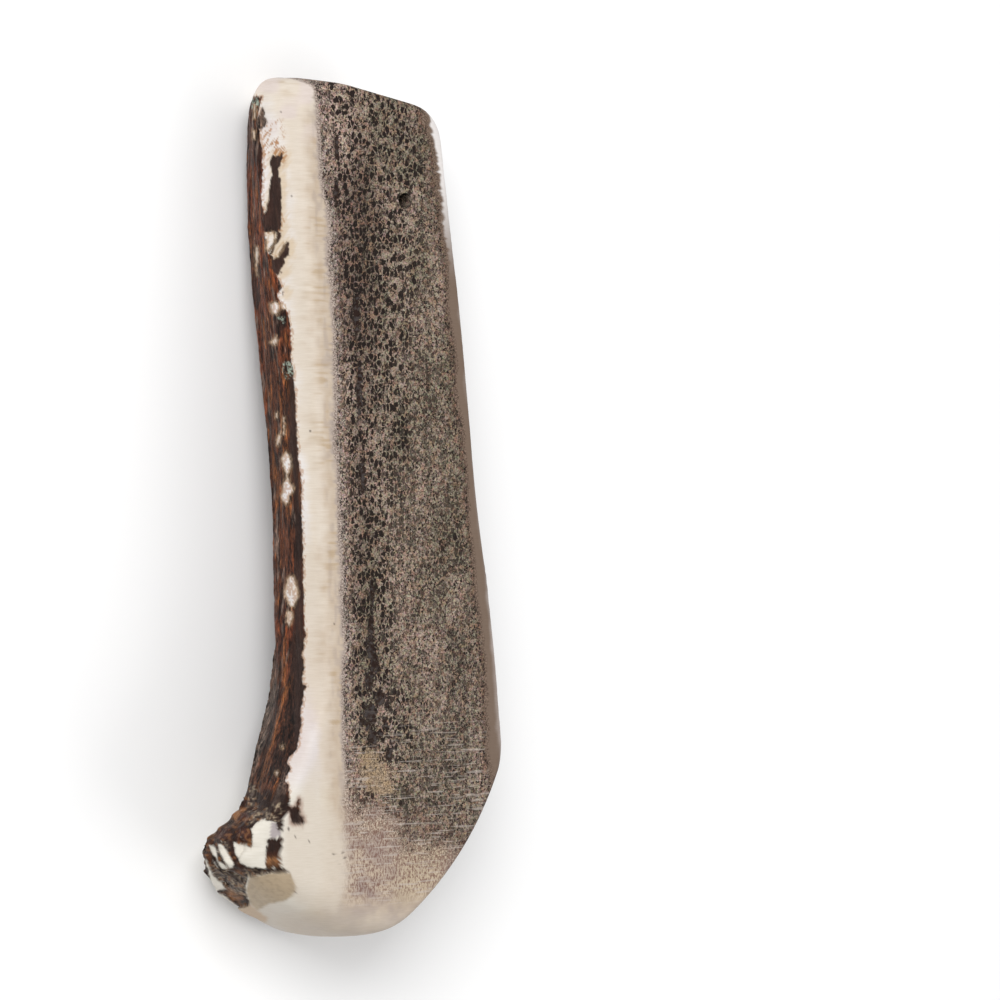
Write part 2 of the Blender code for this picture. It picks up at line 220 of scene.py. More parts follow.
# Marks drawn on the side that the camera sees: each is closed, in mm across and along the picture
LEFT_BARK = (
    ((-25.9, 180.6), (-26.3, 179.3), (-26.6, 177.8), (-26.8, 175.9), (-26.6, 175.0), (-26.6, 173.9),
        (-26.3, 173.3), (-26.3, 171.4), (-26.1, 170.3), (-25.8, 169.2), (-25.8, 167.1), (-25.7, 164.9),
        (-25.8, 162.8), (-25.9, 160.6), (-26.0, 158.5), (-25.9, 157.4), (-25.6, 156.3), (-25.4, 155.4),
        (-21.8, 155.3), (-21.7, 154.2), (-21.8, 153.1), (-21.9, 152.0), (-22.7, 151.7), (-25.3, 151.5),
        (-25.0, 149.4), (-24.8, 147.7), (-24.4, 146.8), (-23.4, 146.2), (-23.3, 145.1), (-23.1, 143.6),
        (-22.7, 142.3), (-22.3, 141.3), (-21.8, 140.4), (-21.6, 139.5), (-22.0, 139.0), (-22.5, 138.0),
        (-22.3, 137.2), (-21.6, 136.3), (-20.7, 135.2), (-20.3, 134.4), (-20.1, 133.1), (-19.9, 131.6),
        (-19.7, 130.3), (-19.7, 128.4), (-19.6, 126.2), (-19.7, 124.5), (-19.5, 123.0), (-19.2, 121.9),
        (-19.1, 120.8), (-19.0, 119.8), (-18.8, 117.6), (-18.7, 115.5), (-18.6, 113.3), (-18.5, 111.2),
        (-18.4, 109.0), (-18.3, 106.9), (-18.1, 104.7), (-18.0, 102.6), (-17.7, 100.4), (-17.5, 98.3),
        (-17.4, 96.1), (-17.4, 91.8), (-17.3, 89.7), (-17.2, 87.5), (-17.1, 85.4), (-17.1, 81.1),
        (-17.0, 78.9), (-17.0, 76.8), (-16.9, 74.6), (-16.9, 70.3), (-16.8, 68.2), (-16.7, 66.0),
        (-16.4, 64.9), (-16.7, 63.9), (-16.9, 62.8), (-17.1, 61.7), (-17.3, 60.6), (-17.0, 59.6),
        (-16.9, 58.5), (-16.9, 57.4), (-17.1, 56.3), (-17.3, 55.3), (-17.1, 54.4), (-16.4, 53.8),
        (-16.8, 53.1), (-16.9, 52.0), (-17.1, 51.0), (-17.3, 49.9), (-17.5, 48.8), (-17.6, 47.7),
        (-17.4, 46.7), (-17.5, 45.6), (-17.7, 44.5), (-18.0, 42.4), (-18.2, 41.3), (-18.5, 40.2),
        (-19.5, 39.1), (-20.0, 38.7), (-20.2, 38.1), (-20.5, 37.4), (-20.1, 36.8), (-19.9, 35.9),
        (-20.3, 35.3), (-20.7, 34.4), (-21.1, 33.8), (-20.5, 33.1), (-20.1, 32.7), (-20.2, 31.6),
        (-20.4, 30.1), (-45.0, 30.1), (-45.0, 180.6)),
)
CREAM_PATCHES = (
    ((-24.6, 150.9), (-23.8, 151.6), (-22.9, 151.1), (-23.1, 149.9), (-23.3, 148.6), (-24.0, 147.7),
        (-24.6, 147.3), (-25.0, 148.1), (-24.8, 149.4)),
    ((-21.2, 149.6), (-22.5, 148.3), (-23.1, 147.3), (-23.3, 146.2), (-22.5, 146.4), (-21.4, 147.9),
        (-21.0, 149.2)),
    ((-24.0, 136.1), (-23.1, 136.5), (-22.3, 136.3), (-22.3, 134.6), (-22.7, 133.9), (-23.8, 134.2)),
    ((-21.8, 136.3), (-21.0, 136.1), (-20.3, 135.0), (-21.2, 134.8), (-21.8, 135.2)),
    ((-22.9, 129.2), (-22.5, 128.4), (-22.7, 127.5), (-23.3, 127.5), (-24.0, 127.9), (-23.3, 128.6)),
    ((-22.9, 112.7), (-22.5, 112.7), (-22.5, 111.6), (-22.9, 111.4)),
    ((-21.3, 111.8), (-21.0, 111.6), (-21.1, 109.9), (-21.0, 108.1), (-21.3, 107.7), (-21.3, 109.6)),
    ((-22.3, 108.1), (-21.8, 107.7), (-22.0, 106.4), (-22.5, 105.6), (-22.7, 106.4), (-22.5, 107.5)),
    ((-20.7, 104.5), (-20.1, 103.8), (-19.7, 102.6), (-19.5, 101.3), (-19.9, 100.0), (-20.5, 99.1),
        (-21.0, 100.4), (-21.4, 101.5), (-21.6, 102.8), (-21.2, 103.8)),
    ((-20.3, 99.3), (-19.9, 97.8), (-19.2, 96.8), (-19.2, 95.7), (-19.9, 94.8), (-20.1, 93.5), (-20.7,
        92.9), (-21.4, 93.7), (-21.8, 94.8), (-21.4, 95.9), (-21.4, 97.4), (-20.7, 98.5)),
    ((-19.7, 77.8), (-19.0, 77.4), (-18.6, 76.1), (-18.0, 74.2), (-18.2, 73.1), (-18.6, 72.0), (-19.0,
        71.0), (-19.7, 71.0), (-20.3, 71.8), (-20.7, 72.9), (-21.0, 74.2), (-20.7, 75.7), (-20.3,
        77.2)),
    ((-20.3, 70.1), (-19.5, 70.1), (-19.2, 69.0), (-19.5, 67.7), (-20.1, 66.9), (-20.5, 67.7), (-20.5,
        69.2)),
    ((-27.2, 148.6), (-26.7, 148.1), (-26.6, 146.6), (-26.8, 145.1), (-26.9, 142.3), (-27.2, 145.1),
        (-27.4, 146.8)),
    ((-27.6, 179.1), (-27.3, 179.1), (-27.3, 176.1), (-27.6, 175.9)),
    ((-27.8, 173.5), (-27.3, 173.3), (-27.4, 171.4), (-27.8, 171.8)),
    ((-22.8, 35.7), (-22.4, 35.3), (-22.7, 34.8), (-23.0, 35.3)),
    ((-21.8, 41.1), (-21.2, 41.5), (-21.2, 41.3), (-21.7, 40.6)),
)
DARK_ISLANDS = (
    ((-22.3, 151.8), (-21.7, 151.4), (-22.0, 150.1), (-22.9, 148.8), (-23.5, 147.3), (-24.2, 146.8),
        (-23.8, 148.3), (-23.1, 149.6), (-22.7, 150.7)),
    ((-24.0, 167.5), (-23.5, 168.1), (-23.1, 167.7), (-22.5, 167.9), (-22.0, 167.7), (-21.5, 168.6),
        (-21.4, 167.5), (-21.7, 166.8), (-21.7, 166.0), (-22.3, 165.1), (-22.4, 163.8), (-21.9, 163.0),
        (-21.8, 161.7), (-21.8, 158.5), (-21.8, 155.2),
        (-21.7, 153.1), (-21.8, 152.0), (-22.0, 150.9), (-22.3, 152.1), (-22.6, 150.7), (-22.9, 151.8), (-23.2, 150.7), (-23.5, 152.2), (-23.9, 151.4),
        (-24.1, 152.1), (-24.5, 151.4), (-24.8, 152.3), (-25.5, 151.6), (-25.9, 153.7), (-25.5, 155.4),
        (-24.9, 156.3), (-24.6, 157.4), (-24.3, 158.9), (-24.2, 160.6), (-24.1, 162.8), (-23.8, 163.8),
        (-23.8, 164.9), (-24.1, 166.0)),
    ((-20.4, 149.6), (-20.1, 149.2), (-20.1, 146.6), (-20.5, 146.2), (-21.0, 145.8), (-21.1, 144.9),
        (-21.6, 143.8), (-22.0, 143.2), (-22.3, 142.1), (-22.9, 142.5), (-23.8, 143.8), (-23.8, 145.3), (-23.0, 146.0), (-22.3, 146.2), (-21.8, 147.3),
        (-21.2, 148.6)),
    ((-22.3, 143.3), (-21.4, 143.0), (-22.0, 142.1), (-21.8, 142.8)),
    ((-21.4, 139.3), (-21.0, 138.7), (-21.5, 137.8)),
    ((-24.2, 148.1), (-22.8, 150.1), (-22.7, 149.7), (-23.8, 147.9)),
    ((-22.8, 150.3), (-22.2, 150.7), (-22.7, 149.6), (-23.6, 148.1), (-24.3, 147.2),
        (-24.5, 147.5), (-23.9, 148.6), (-23.2, 149.9)),
    ((-25.8, 178.4), (-25.4, 177.6), (-25.2, 176.5), (-24.7, 175.2), (-25.2, 174.3),
        (-25.9, 173.5), (-27.0, 173.9), (-27.1, 175.7), (-26.2, 176.9)),
    ((-19.9, 27.5), (-18.6, 28.2), (-17.7, 27.9), (-17.5, 26.2), (-16.9, 25.7), (-16.7, 24.9), (-17.5,
        24.1), (-18.4, 24.4), (-19.5, 24.5), (-19.9, 25.6)),
    ((-18.6, 27.9), (-18.4, 29.0), (-18.0, 29.7), (-17.5, 29.7), (-17.7, 27.9)),
    ((-24.6, 20.9), (-23.8, 21.2), (-22.7, 21.1), (-21.8, 21.7), (-21.4, 21.3), (-21.4, 19.6), (-21.8,
        18.1), (-21.9, 16.1), (-21.7, 14.6), (-22.9, 15.0), (-24.2, 14.6), (-25.0, 14.8), (-25.2, 17.0),
        (-25.0, 18.9)),
    ((-41.4, 30.1), (-30.0, 30.1), (-20.1, 31.4), (-19.9, 27.7), (-21.2, 25.2), (-21.5, 22.8), (-22.3,
        22.8), (-22.9, 24.7), (-25.9, 25.4), (-27.2, 24.5), (-28.1, 23.2), (-27.8, 20.9), (-28.3, 19.1),
        (-29.3, 19.8), (-30.6, 19.8), (-31.9, 20.4), (-31.7, 18.3), (-30.6, 16.1), (-29.1, 15.0),
        (-25.9, 14.7), (-24.2, 14.6), (-21.6, 15.0), (-19.9, 14.0), (-21.4, 13.8), (-24.2, 13.3),
        (-26.8, 12.7), (-28.9, 12.7), (-29.3, 11.4), (-29.3, 9.7), (-29.1, 8.4), (-28.5, 7.5), (-29.1,
        6.2), (-31.1, 5.8), (-32.4, 6.7), (-41.4, 6.7)),
)
SANDED_STRIPES = (
    ((-35.4, 20.0), (-34.7, 20.1), (-34.1, 19.4), (-33.2, 18.1), (-32.6, 17.0), (-31.9, 15.7), (-32.1,
        14.8), (-33.0, 14.6), (-33.6, 15.7), (-34.5, 17.2), (-35.2, 18.7)),
    ((-37.3, 19.8), (-36.4, 19.6), (-35.8, 19.1), (-35.6, 17.8), (-35.5, 16.8), (-36.4, 17.6), (-36.9,
        18.7)),
    ((-35.8, 17.2), (-35.2, 16.3), (-34.5, 15.9), (-33.6, 15.3), (-33.2, 14.5), (-34.5, 14.6), (-35.2,
        15.5)),
    ((-38.2, 16.6), (-37.7, 16.6), (-37.3, 15.3), (-36.9, 14.4), (-36.4, 13.3), (-35.6, 12.5), (-34.9,
        11.4), (-36.2, 11.4), (-37.1, 12.7), (-37.5, 14.4)),
    ((-36.4, 16.3), (-35.8, 15.7), (-35.3, 14.8), (-35.8, 15.3)),
    ((-37.1, 12.9), (-35.8, 12.5), (-34.7, 11.8), (-33.6, 10.3), (-34.7, 10.1), (-35.6, 9.9), (-36.7,
        11.4)),
    ((-35.6, 9.5), (-34.5, 9.2), (-33.4, 8.6), (-32.6, 7.7), (-31.5, 6.9), (-31.5, 6.2), (-33.2, 7.1),
        (-34.5, 8.2)),
)
# Golden marks on the burr: some are golden bone, some are painted highlights on its rounded, glossy knobs
GOLD_AND_HIGHLIGHTS = (
    ((-32.6, 25.4), (-32.1, 26.9), (-31.1, 27.6), (-29.8, 27.7), (-29.1, 27.3), (-30.6, 26.2), (-31.5,
        25.4)),
    ((-31.1, 20.2), (-29.3, 20.2), (-28.5, 21.3), (-27.8, 20.6), (-28.3, 18.9), (-29.3, 19.4), (-30.6,
        19.6)),
    ((-24.6, 17.2), (-22.0, 17.2), (-21.9, 16.3), (-21.8, 15.0), (-24.2, 14.8), (-25.0, 15.0), (-25.2,
        16.6)),
    ((-33.9, 9.7), (-32.8, 9.7), (-31.5, 9.5), (-30.4, 8.4), (-31.3, 8.0), (-32.8, 8.4)),
    ((-38.4, 21.7), (-37.1, 22.1), (-35.8, 22.8), (-35.8, 21.9), (-37.5, 20.9)),
    ((-36.2, 23.0), (-34.9, 24.5), (-33.2, 24.9), (-33.2, 24.5), (-34.9, 23.4)),
)
# Brown knobs of the burr; the second outline is the painted shade on the right of the top knob, across from its
# highlight
BROWN_LOBES_AND_SHADE = (
    ((-31.5, 23.2), (-30.2, 23.9), (-28.9, 23.4), (-28.1, 22.4), (-28.5, 20.9), (-29.8, 20.0), (-31.3,
        20.2)),
    ((-30.6, 26.9), (-28.5, 26.9), (-26.8, 26.4), (-28.5, 24.7), (-30.6, 25.2)),
    ((-36.2, 22.1), (-34.5, 23.2), (-32.4, 23.9), (-32.1, 21.7), (-33.6, 20.9), (-35.6, 20.6)),
)
BLACK_PATCHES = (
    ((-33.0, 25.2), (-32.4, 25.4), (-31.7, 23.0), (-31.5, 20.4), (-32.1, 20.4), (-32.6, 22.6)),
    ((-37.2, 18.9), (-36.9, 18.9), (-35.8, 17.0), (-34.6, 14.6), (-35.2, 14.6), (-36.2, 16.3)),
    ((-35.8, 19.4), (-35.4, 19.4), (-34.5, 16.8), (-33.9, 15.3), (-34.5, 16.1), (-35.2, 17.2)),
    ((-31.9, 18.7), (-31.5, 17.8), (-30.4, 16.1), (-29.3, 15.3), (-30.4, 15.5), (-31.3, 16.6)),
    ((-30.6, 19.6), (-30.4, 19.6), (-29.8, 17.6), (-28.7, 15.7), (-28.9, 15.5), (-30.0, 17.4)),
    ((-27.8, 15.0), (-25.9, 14.6), (-24.2, 14.6), (-21.8, 15.3), (-21.8, 14.8), (-24.2, 14.2), (-25.9,
        14.2), (-28.1, 14.4)),
    ((-38.4, 16.3), (-37.9, 16.3), (-36.7, 14.0), (-36.9, 13.1), (-37.7, 14.6)),
    ((-24.6, 20.6), (-23.3, 21.1), (-22.0, 20.9), (-21.6, 19.6), (-22.5, 18.3), (-24.2, 18.1), (-24.8,
        18.7)),
    ((-30.0, 8.0), (-29.1, 8.2), (-28.5, 7.3), (-29.1, 6.5), (-30.6, 6.0), (-31.5, 6.7), (-31.1, 7.5)),
    ((-27.4, 32.0), (-25.9, 30.5), (-24.6, 32.0), (-23.8, 31.6), (-24.2, 28.4), (-25.9, 27.7), (-27.2,
        28.4)),
    ((-22.0, 30.5), (-20.5, 30.5), (-20.3, 28.2), (-20.7, 25.2), (-22.0, 26.9)),
    ((-22.3, 24.7), (-21.2, 24.7), (-21.4, 22.8), (-22.3, 23.0)),
    ((-19.7, 27.3), (-18.4, 27.7), (-17.7, 26.9), (-18.4, 24.7), (-19.5, 24.9)),
    ((-36.0, 21.3), (-34.7, 20.9), (-35.8, 19.8), (-36.2, 20.2)),
)
GREY_PATCHES = (
    ((-34.5, 20.6), (-33.6, 20.6), (-32.8, 19.4), (-33.4, 18.5), (-34.5, 19.8)),
    ((-36.7, 15.3), (-34.5, 14.6), (-30.6, 13.1), (-28.7, 12.9), (-29.1, 8.6), (-31.5, 9.5), (-33.6,
        10.5), (-35.8, 13.1)),
    ((-29.6, 14.8), (-26.8, 14.4), (-21.4, 14.4), (-21.4, 13.5), (-24.2, 13.1), (-26.8, 12.7), (-29.3,
        12.9)),
    ((-28.7, 32.7), (-27.2, 32.7), (-27.2, 28.2), (-28.9, 28.2)),
    ((-28.5, 26.9), (-25.9, 26.9), (-24.0, 27.7), (-24.0, 25.2), (-26.3, 25.2), (-28.5, 24.5)),
)
LILAC = (
    ((-23.8, 24.7), (-22.9, 24.5), (-22.3, 23.0), (-21.4, 22.4), (-21.8, 21.5), (-23.8, 21.3), (-24.2,
        21.9)),
)
GRANULAR = (
    ((-24.0, 28.2), (-21.2, 29.5), (-20.7, 27.7), (-21.4, 24.7), (-22.3, 23.4), (-23.8, 25.2)),
)
OLIVE_PATCH = (
    ((-28.7, 12.9), (-26.8, 13.1), (-24.2, 13.7), (-21.4, 14.0), (-19.9, 13.8), (-19.2, 12.5), (-18.6,
        11.0), (-18.8, 9.7), (-19.9, 8.4), (-21.4, 7.7), (-24.2, 7.1), (-25.9, 6.2), (-26.8, 5.6),
        (-28.3, 7.3), (-29.3, 9.7)),
)
TAN_EDGE = (
    ((-32.8, 7.3), (-31.1, 6.2), (-29.3, 6.5), (-28.3, 6.9), (-26.8, 5.6), (-24.6, 4.1), (-25.0, 3.2),
        (-28.5, 3.9), (-30.6, 4.7), (-31.9, 6.0)),
)
# Hollows in the marrow: across the picture, along it, half width and half length, in mm
HOLLOWS = (
    (-2.5, 66.4, 0.6, 3.0),
    (-2.5, 62.1, 0.9, 3.6),
    (-1.8, 58.7, 1.0, 2.4),
    (-2.7, 54.8, 1.0, 2.4),
    (-0.5, 51.2, 1.2, 1.8),
    (-2.7, 47.5, 1.6, 3.0),
    (-2.0, 43.0, 1.0, 2.3),
    (1.6, 39.3, 0.8, 1.6),
    (-4.4, 46.2, 0.5, 1.1),
    (1.0, 49.7, 0.6, 1.1),
    (0.5, 46.2, 0.6, 1.4),
    (-0.3, 43.4, 0.5, 1.0),
    (-2.2, 74.0, 0.5, 4.0),
    (-5.6, 134.0, 0.8, 4.5),
    (-4.9, 118.0, 0.7, 5.5),
    (-4.3, 99.0, 0.8, 4.0),
    (-9.8, 170.0, 0.5, 3.5),
    (-9.9, 160.0, 0.5, 3.0),
)
OCHRE_PATCH = (
    ((-4.5, 41.3), (-2.8, 41.9), (-1.0, 39.9), (0.8, 37.6), (2.4, 34.8), (3.4, 30.6), (-0.5, 29.8), (-4.2, 31.0),
        (-5.0, 36.0)),
)
CREAM_BELOW = (
    ((-21.0, 23.0), (-17.0, 33.0), (-14.0, 38.0), (-13.0, 30.0), (-9.6, 25.0), (-7.8, 20.0), (-7.4, 12.0),
        (-10.0, 5.0), (-18.0, 7.0), (-21.0, 13.0)),
)
YELLOW_BELOW = (((5.0, 19.0), (9.5, 22.5), (14.0, 18.0), (12.0, 11.0), (7.0, 7.0), (3.0, 6.0), (2.6, 12.0)),)
# Lumps of the burr's outline on the left: along the picture, how far they stand in or out (-), half length, in mm
BURR_LUMPS = (
    (28.5, 0.7, 0.8),
    (26.8, -0.7, 1.2),
    (23.9, -0.9, 1.0),
    (21.4, -0.8, 1.0),
    (18.7, 0.5, 0.6),
    (16.2, -0.45, 1.2),
    (12.2, 1.4, 2.0),
    (5.8, -0.6, 1.5),
)
LEFTMOST = -34.58 * MM  # of the burr, as it lies
BARK_STANDS_OUT = 0.5  # of the left edge above the burr, in mm
# The raised line in the lower bark, in mm along and across the picture
RIDGE = np.array(
    (
        (34.2, -25.9),
        (37.0, -25.0),
        (39.8, -24.4),
        (41.7, -23.5),
        (43.4, -23.1),
        (46.2, -22.7),
        (48.4, -22.0),
        (51.0, -21.4),
        (53.5, -20.7),
        (55.3, -21.2),
        (58.5, -21.0),
        (61.3, -21.2),
        (64.0, -20.9),
    )
)
LICHENS = ((-27.3, 179.0, 0.9, 1.6, 0.0), (-20.2, 122.1, 1.1, 1.6, 0.0), (-21.5, 132.6, 0.9, 0.8, 0.0))
SPECKS = (
    (-21.8, 177.4, 0.2),
    (-15.5, 108.8, 0.3),
    (-10.3, 67.3, 0.25),
    (-19.3, 26.4, 0.3),
    (-18.7, 21.6, 0.25),
    (-15.8, 20.6, 0.25),
    (-18.8, 9.6, 0.3),
    (-19.5, 159.3, 0.3),
    (-10.3, 17.8, 0.35),
    (-9.6, 16.6, 0.3),
    (-8.6, 18.2, 0.3),
    (-8.0, 17.0, 0.35),
    (-9.0, 15.6, 0.25),
    (-20.1, 23.2, 0.35),
)

def along_beam(y, column):
    """A smooth curve through one column of BEAM."""
    stations = BEAM[:, 0]
    values = BEAM[:, column]
    slopes = np.gradient(values, stations)
    i = np.clip(np.searchsorted(stations, y) - 1, 0, len(stations) - 2)
    span = stations[i + 1] - stations[i]
    t = np.clip((y - stations[i]) / span, 0, 1)
    rise = values[i + 1] - values[i]
    bend = (slopes[i] * span - rise) * (1 - t) - (slopes[i + 1] * span - rise) * t
    return values[i] + rise * t + t * (1 - t) * bend


def chance(x, y, seed):
    """A repeatable number from 0 to 1 for each pair of whole numbers."""
    n = (x * 374761393 + y * 668265263 + seed * 974634777) & 0xFFFFFFFF
    n = ((n ^ (n >> 13)) * 1274126177) & 0xFFFFFFFF
    return ((n ^ (n >> 16)) & 0xFFFF) / 0xFFFF


def noise(x, y, seed):
    """Smooth noise from -1 to 1 over two coordinates."""
    left = np.floor(x).astype(np.int64)
    low = np.floor(y).astype(np.int64)
    u = x - left
    v = y - low
    u = u * u * (3 - 2 * u)
    v = v * v * (3 - 2 * v)
    bottom = chance(left, low, seed) * (1 - u) + chance(left + 1, low, seed) * u
    top = chance(left, low + 1, seed) * (1 - u) + chance(left + 1, low + 1, seed) * u
    return 2 * (bottom * (1 - v) + top * v) - 1


def knobs(x, y, seed):
    """Round-topped lumps, from 0 in the furrows to 1, one in each cell of a jittered grid."""
    left = np.floor(x).astype(np.int64)
    low = np.floor(y).astype(np.int64)
    nearest = np.full(np.shape(x), 9.0)
    for i in (-1, 0, 1):
        for j in (-1, 0, 1):
            centre_x = left + i + 0.2 + 0.6 * chance(left + i, low + j, seed)
            centre_y = low + j + 0.2 + 0.6 * chance(left + i, low + j, seed + 1)
            nearest = np.minimum(nearest, (x - centre_x) ** 2 + (y - centre_y) ** 2)
    return np.clip(1 - nearest / 0.5, 0, 1)


def smooth_max(a, b, rounding):
    """The larger of two distances, with the edge between the surfaces rounded off."""
    near = np.clip(1 - np.abs(a - b) / rounding, 0, None)
    return np.maximum(a, b) + rounding * near * near / 4


def smooth_step(low, high, value):
    t = np.clip((value - low) / (high - low), 0, 1)
    return t * t * (3 - 2 * t)


def polar(p):
    """Distance from the beam's centre line and angle round it, which is 0 at +X and a quarter turn at +Z."""
    across = p[:, 0] - along_beam(p[:, 1], 1)
    up = p[:, 2] + along_beam(p[:, 1], 2)
    return np.hypot(across, up), np.arctan2(up, across)


def beam_radius(angle, y):
    """The beam alone, flattened on its back, with the tine's root."""
    back = np.clip(-np.sin(angle), 0, None) ** 4
    turn = (angle - TINE_ROOT_ANGLE) / TINE_ROOT_SPREAD
    step = (y - TINE_ROOT_ALONG) / TINE_ROOT_HALF_WIDTH
    root = TINE_ROOT_HEIGHT * np.exp(-turn * turn - step * step)
    return along_beam(y, 3) * (1 - BACK_FLATTENING * back) + root


def burr_ring(above):
    """The burr's profile along the beam, from 0 to 1 at its middle."""
    width = np.where(above > 0, BURR_HALF_WIDTH, BURR_HALF_WIDTH_BELOW)
    return np.exp(-((above / width) ** 2))


def burr(angle, y, depth):
    """Height of the burr and its flare over the beam, before the knobs."""
    back = np.clip(-np.sin(angle), 0, None) ** 2
    share = 1 - (1 - BACK_SHARE) * back
    above = y - BURR_ALONG + BURR_LEAN * depth
    flare = np.exp(-((above / FLARE_HALF_WIDTH) ** 2))
    return share * BURR_HEIGHT * burr_ring(above), share * FLARE_HEIGHT * flare


def bark_relief(angle, y, depth):
    """Height of the bark's ridges, gutters and knobs, about zero."""
    radius = along_beam(y, 3)
    around = np.mod(angle, tau) * radius
    wander = GUTTER_WANDER * noise(around / GUTTER_LENGTH, y / GUTTER_LENGTH, 5)
    ridge = noise((around + wander) / GUTTER_SPACING, y / GUTTER_LENGTH, 11)
    gutters = GUTTER_DEPTH * (0.45 - np.abs(ridge))
    above = y - BURR_ALONG + BURR_LEAN * depth
    ring = burr_ring(above)
    lumps = knobs((around - KNOB_SKEW * above) / KNOB_SIZE, above / (KNOB_SIZE * KNOB_STRETCH), 23)
    return gutters * (1 - ring) + ring * BURR_HEIGHT * 0.55 * (lumps - 0.55)


def natural(p):
    """Signed distance, about, from the antler as it grew."""
    distance, angle = polar(p)
    ring, flare = burr(angle, p[:, 1], -p[:, 2])
    smooth = distance - beam_radius(angle, p[:, 1]) - ring - flare
    rough = smooth - bark_relief(angle, p[:, 1], -p[:, 2])
    return np.maximum(rough, smooth - WEAR_HEIGHT)


def plane(p, normal, point):
    unit = np.array(normal) / np.linalg.norm(normal)
    return (p - np.array(point)) @ unit


def sanded_edge(p):
    """The slope sanded along the left edge of the sawn face."""
    y = p[:, 1]
    ring, flare = burr(pi, y, 0)
    corner = along_beam(y, 1) - np.sqrt((along_beam(y, 3) + ring + flare) ** 2 - along_beam(y, 2) ** 2)
    at_burr = smooth_step(52 * MM, 36 * MM, y)
    setback = EDGE_SETBACK + (EDGE_SETBACK_AT_BURR - EDGE_SETBACK) * at_burr
    return (corner + setback - p[:, 0]) * sin(EDGE_SLOPE) + p[:, 2] * cos(EDGE_SLOPE)


def dome(p, normal, apex, radius):
    """A sawn end that sanding has left slightly rounded."""
    height = plane(p, normal, apex)
    aside = np.sum((p - np.array(apex)) ** 2, axis=1) - height**2
    return height + np.minimum(aside, DOME_REACH**2) / (2 * radius)


def sawn_tine(p):
    return dome(p, TINE_NORMAL, TINE_POINT, TINE_DOME_RADIUS)


def sanded_base(p):
    return dome(p, BASE_NORMAL, BASE_POINT, BASE_DOME_RADIUS)


def lower_end(p):
    """The base and the saw cut that took the tine off, which meet in a rounded corner."""
    return smooth_max(sanded_base(p), sawn_tine(p), BASE_CORNER_ROUNDING)


def top_end(p):
    return plane(p, TOP_NORMAL, TOP_POINT)


def sides(p):
    """The antler with its sanded edge, but endless."""
    return smooth_max(natural(p), sanded_edge(p), EDGE_ROUNDING)


def split_beam(p):
    """The antler split and worn, but endless."""
    return np.maximum(np.maximum(sides(p), p[:, 2]), floor(p))


def floor(p):
    """The table, as the piece lies on it."""
    return -(p[:, 2] + REST_HEIGHT) * cos(REST_PITCH) + p[:, 1] * sin(REST_PITCH)


def solid(p):
    """Signed distance, about, from the finished piece: negative inside it."""
    on_right = smooth_step(-12 * MM, 8 * MM, p[:, 0])
    top_rounding = TOP_ROUNDING + (TOP_ROUNDING_ON_RIGHT - TOP_ROUNDING) * on_right
    shape = smooth_max(sides(p), top_end(p), top_rounding)
    shape = smooth_max(shape, lower_end(p), BASE_ROUNDING)
    soft = smooth_step(26 * MM, 6 * MM, p[:, 1]) * smooth_step(4 * MM, -12 * MM, p[:, 0])
    split = SPLIT_ROUNDING + (SPLIT_ROUNDING_AT_BASE - SPLIT_ROUNDING) * soft
    shape = smooth_max(shape, p[:, 2], split)
    return smooth_max(shape, floor(p), FLOOR_ROUNDING)


def axis_points(y):
    """Points on the line that the rays start from."""
    shift = AXIS_SHIFT * smooth_step(LEVEL_START, FIRST_START, y)
    return np.stack([along_beam(y, 1) - shift, y, -along_beam(y, 2) - AXIS_DEPTH], axis=-1)


def cast(shape, origins, directions):
    """Where rays leave a shape, which is given by its signed distance."""
    near = np.zeros(len(origins))
    far = np.full(len(origins), RAY_LENGTH)
    for _ in range(HALVINGS):
        middle = (near + far) / 2
        inside = shape(origins + directions * middle[:, None]) < 0
        near = np.where(inside, middle, near)
        far = np.where(inside, far, middle)
    return origins + directions * near[:, None]


def edge_slope(origins, leans, side):
    """The sideways run per unit of rise of the ray that meets a side edge of the sawn face."""
    rise = -origins[:, 2]
    y = np.clip(origins[:, 1] + rise * np.tan(leans), 2 * MM, 183 * MM)
    near = np.zeros(len(origins))
    far = np.full(len(origins), 60 * MM)
    for _ in range(HALVINGS):
        middle = (near + far) / 2
        edge = np.stack([origins[:, 0] + side * middle, y, np.zeros(len(origins))], axis=1)
        inside = sides(edge) < 0
        near = np.where(inside, middle, near)
        far = np.where(inside, far, middle)
    return side * near / rise


def ray_directions(origins, leans, columns):
    """Directions of the rays, with a column along each side edge of the sawn face."""
    right = edge_slope(origins, leans, 1)
    left = edge_slope(origins, leans, -1)
    share = np.clip(columns / CUT_COLUMNS, 0, 1)
    face = np.arctan2(1, right + (left - right) * share)
    first = np.arctan2(1, left)
    last = np.arctan2(1, right) + tau
    turn = back_share(columns)
    angles = np.where(columns <= CUT_COLUMNS, face, first + (last - first) * turn)
    level = np.cos(leans)
    return np.stack([np.cos(angles) * level, np.sin(leans), np.sin(angles) * level], axis=1)


def rim_leans(start, end, inside_lean, outside_lean, columns):
    """How far each column's ray leans to meet the rim of an end."""
    origins = axis_points(np.full(len(columns), start))
    near = np.full(len(columns), inside_lean)
    far = np.full(len(columns), outside_lean)
    for _ in range(18):
        middle = (near + far) / 2
        rim = cast(split_beam, origins, ray_directions(origins, middle, columns))
        inside = end(rim) < 0
        near = np.where(inside, middle, near)
        far = np.where(inside, far, middle)
    return near


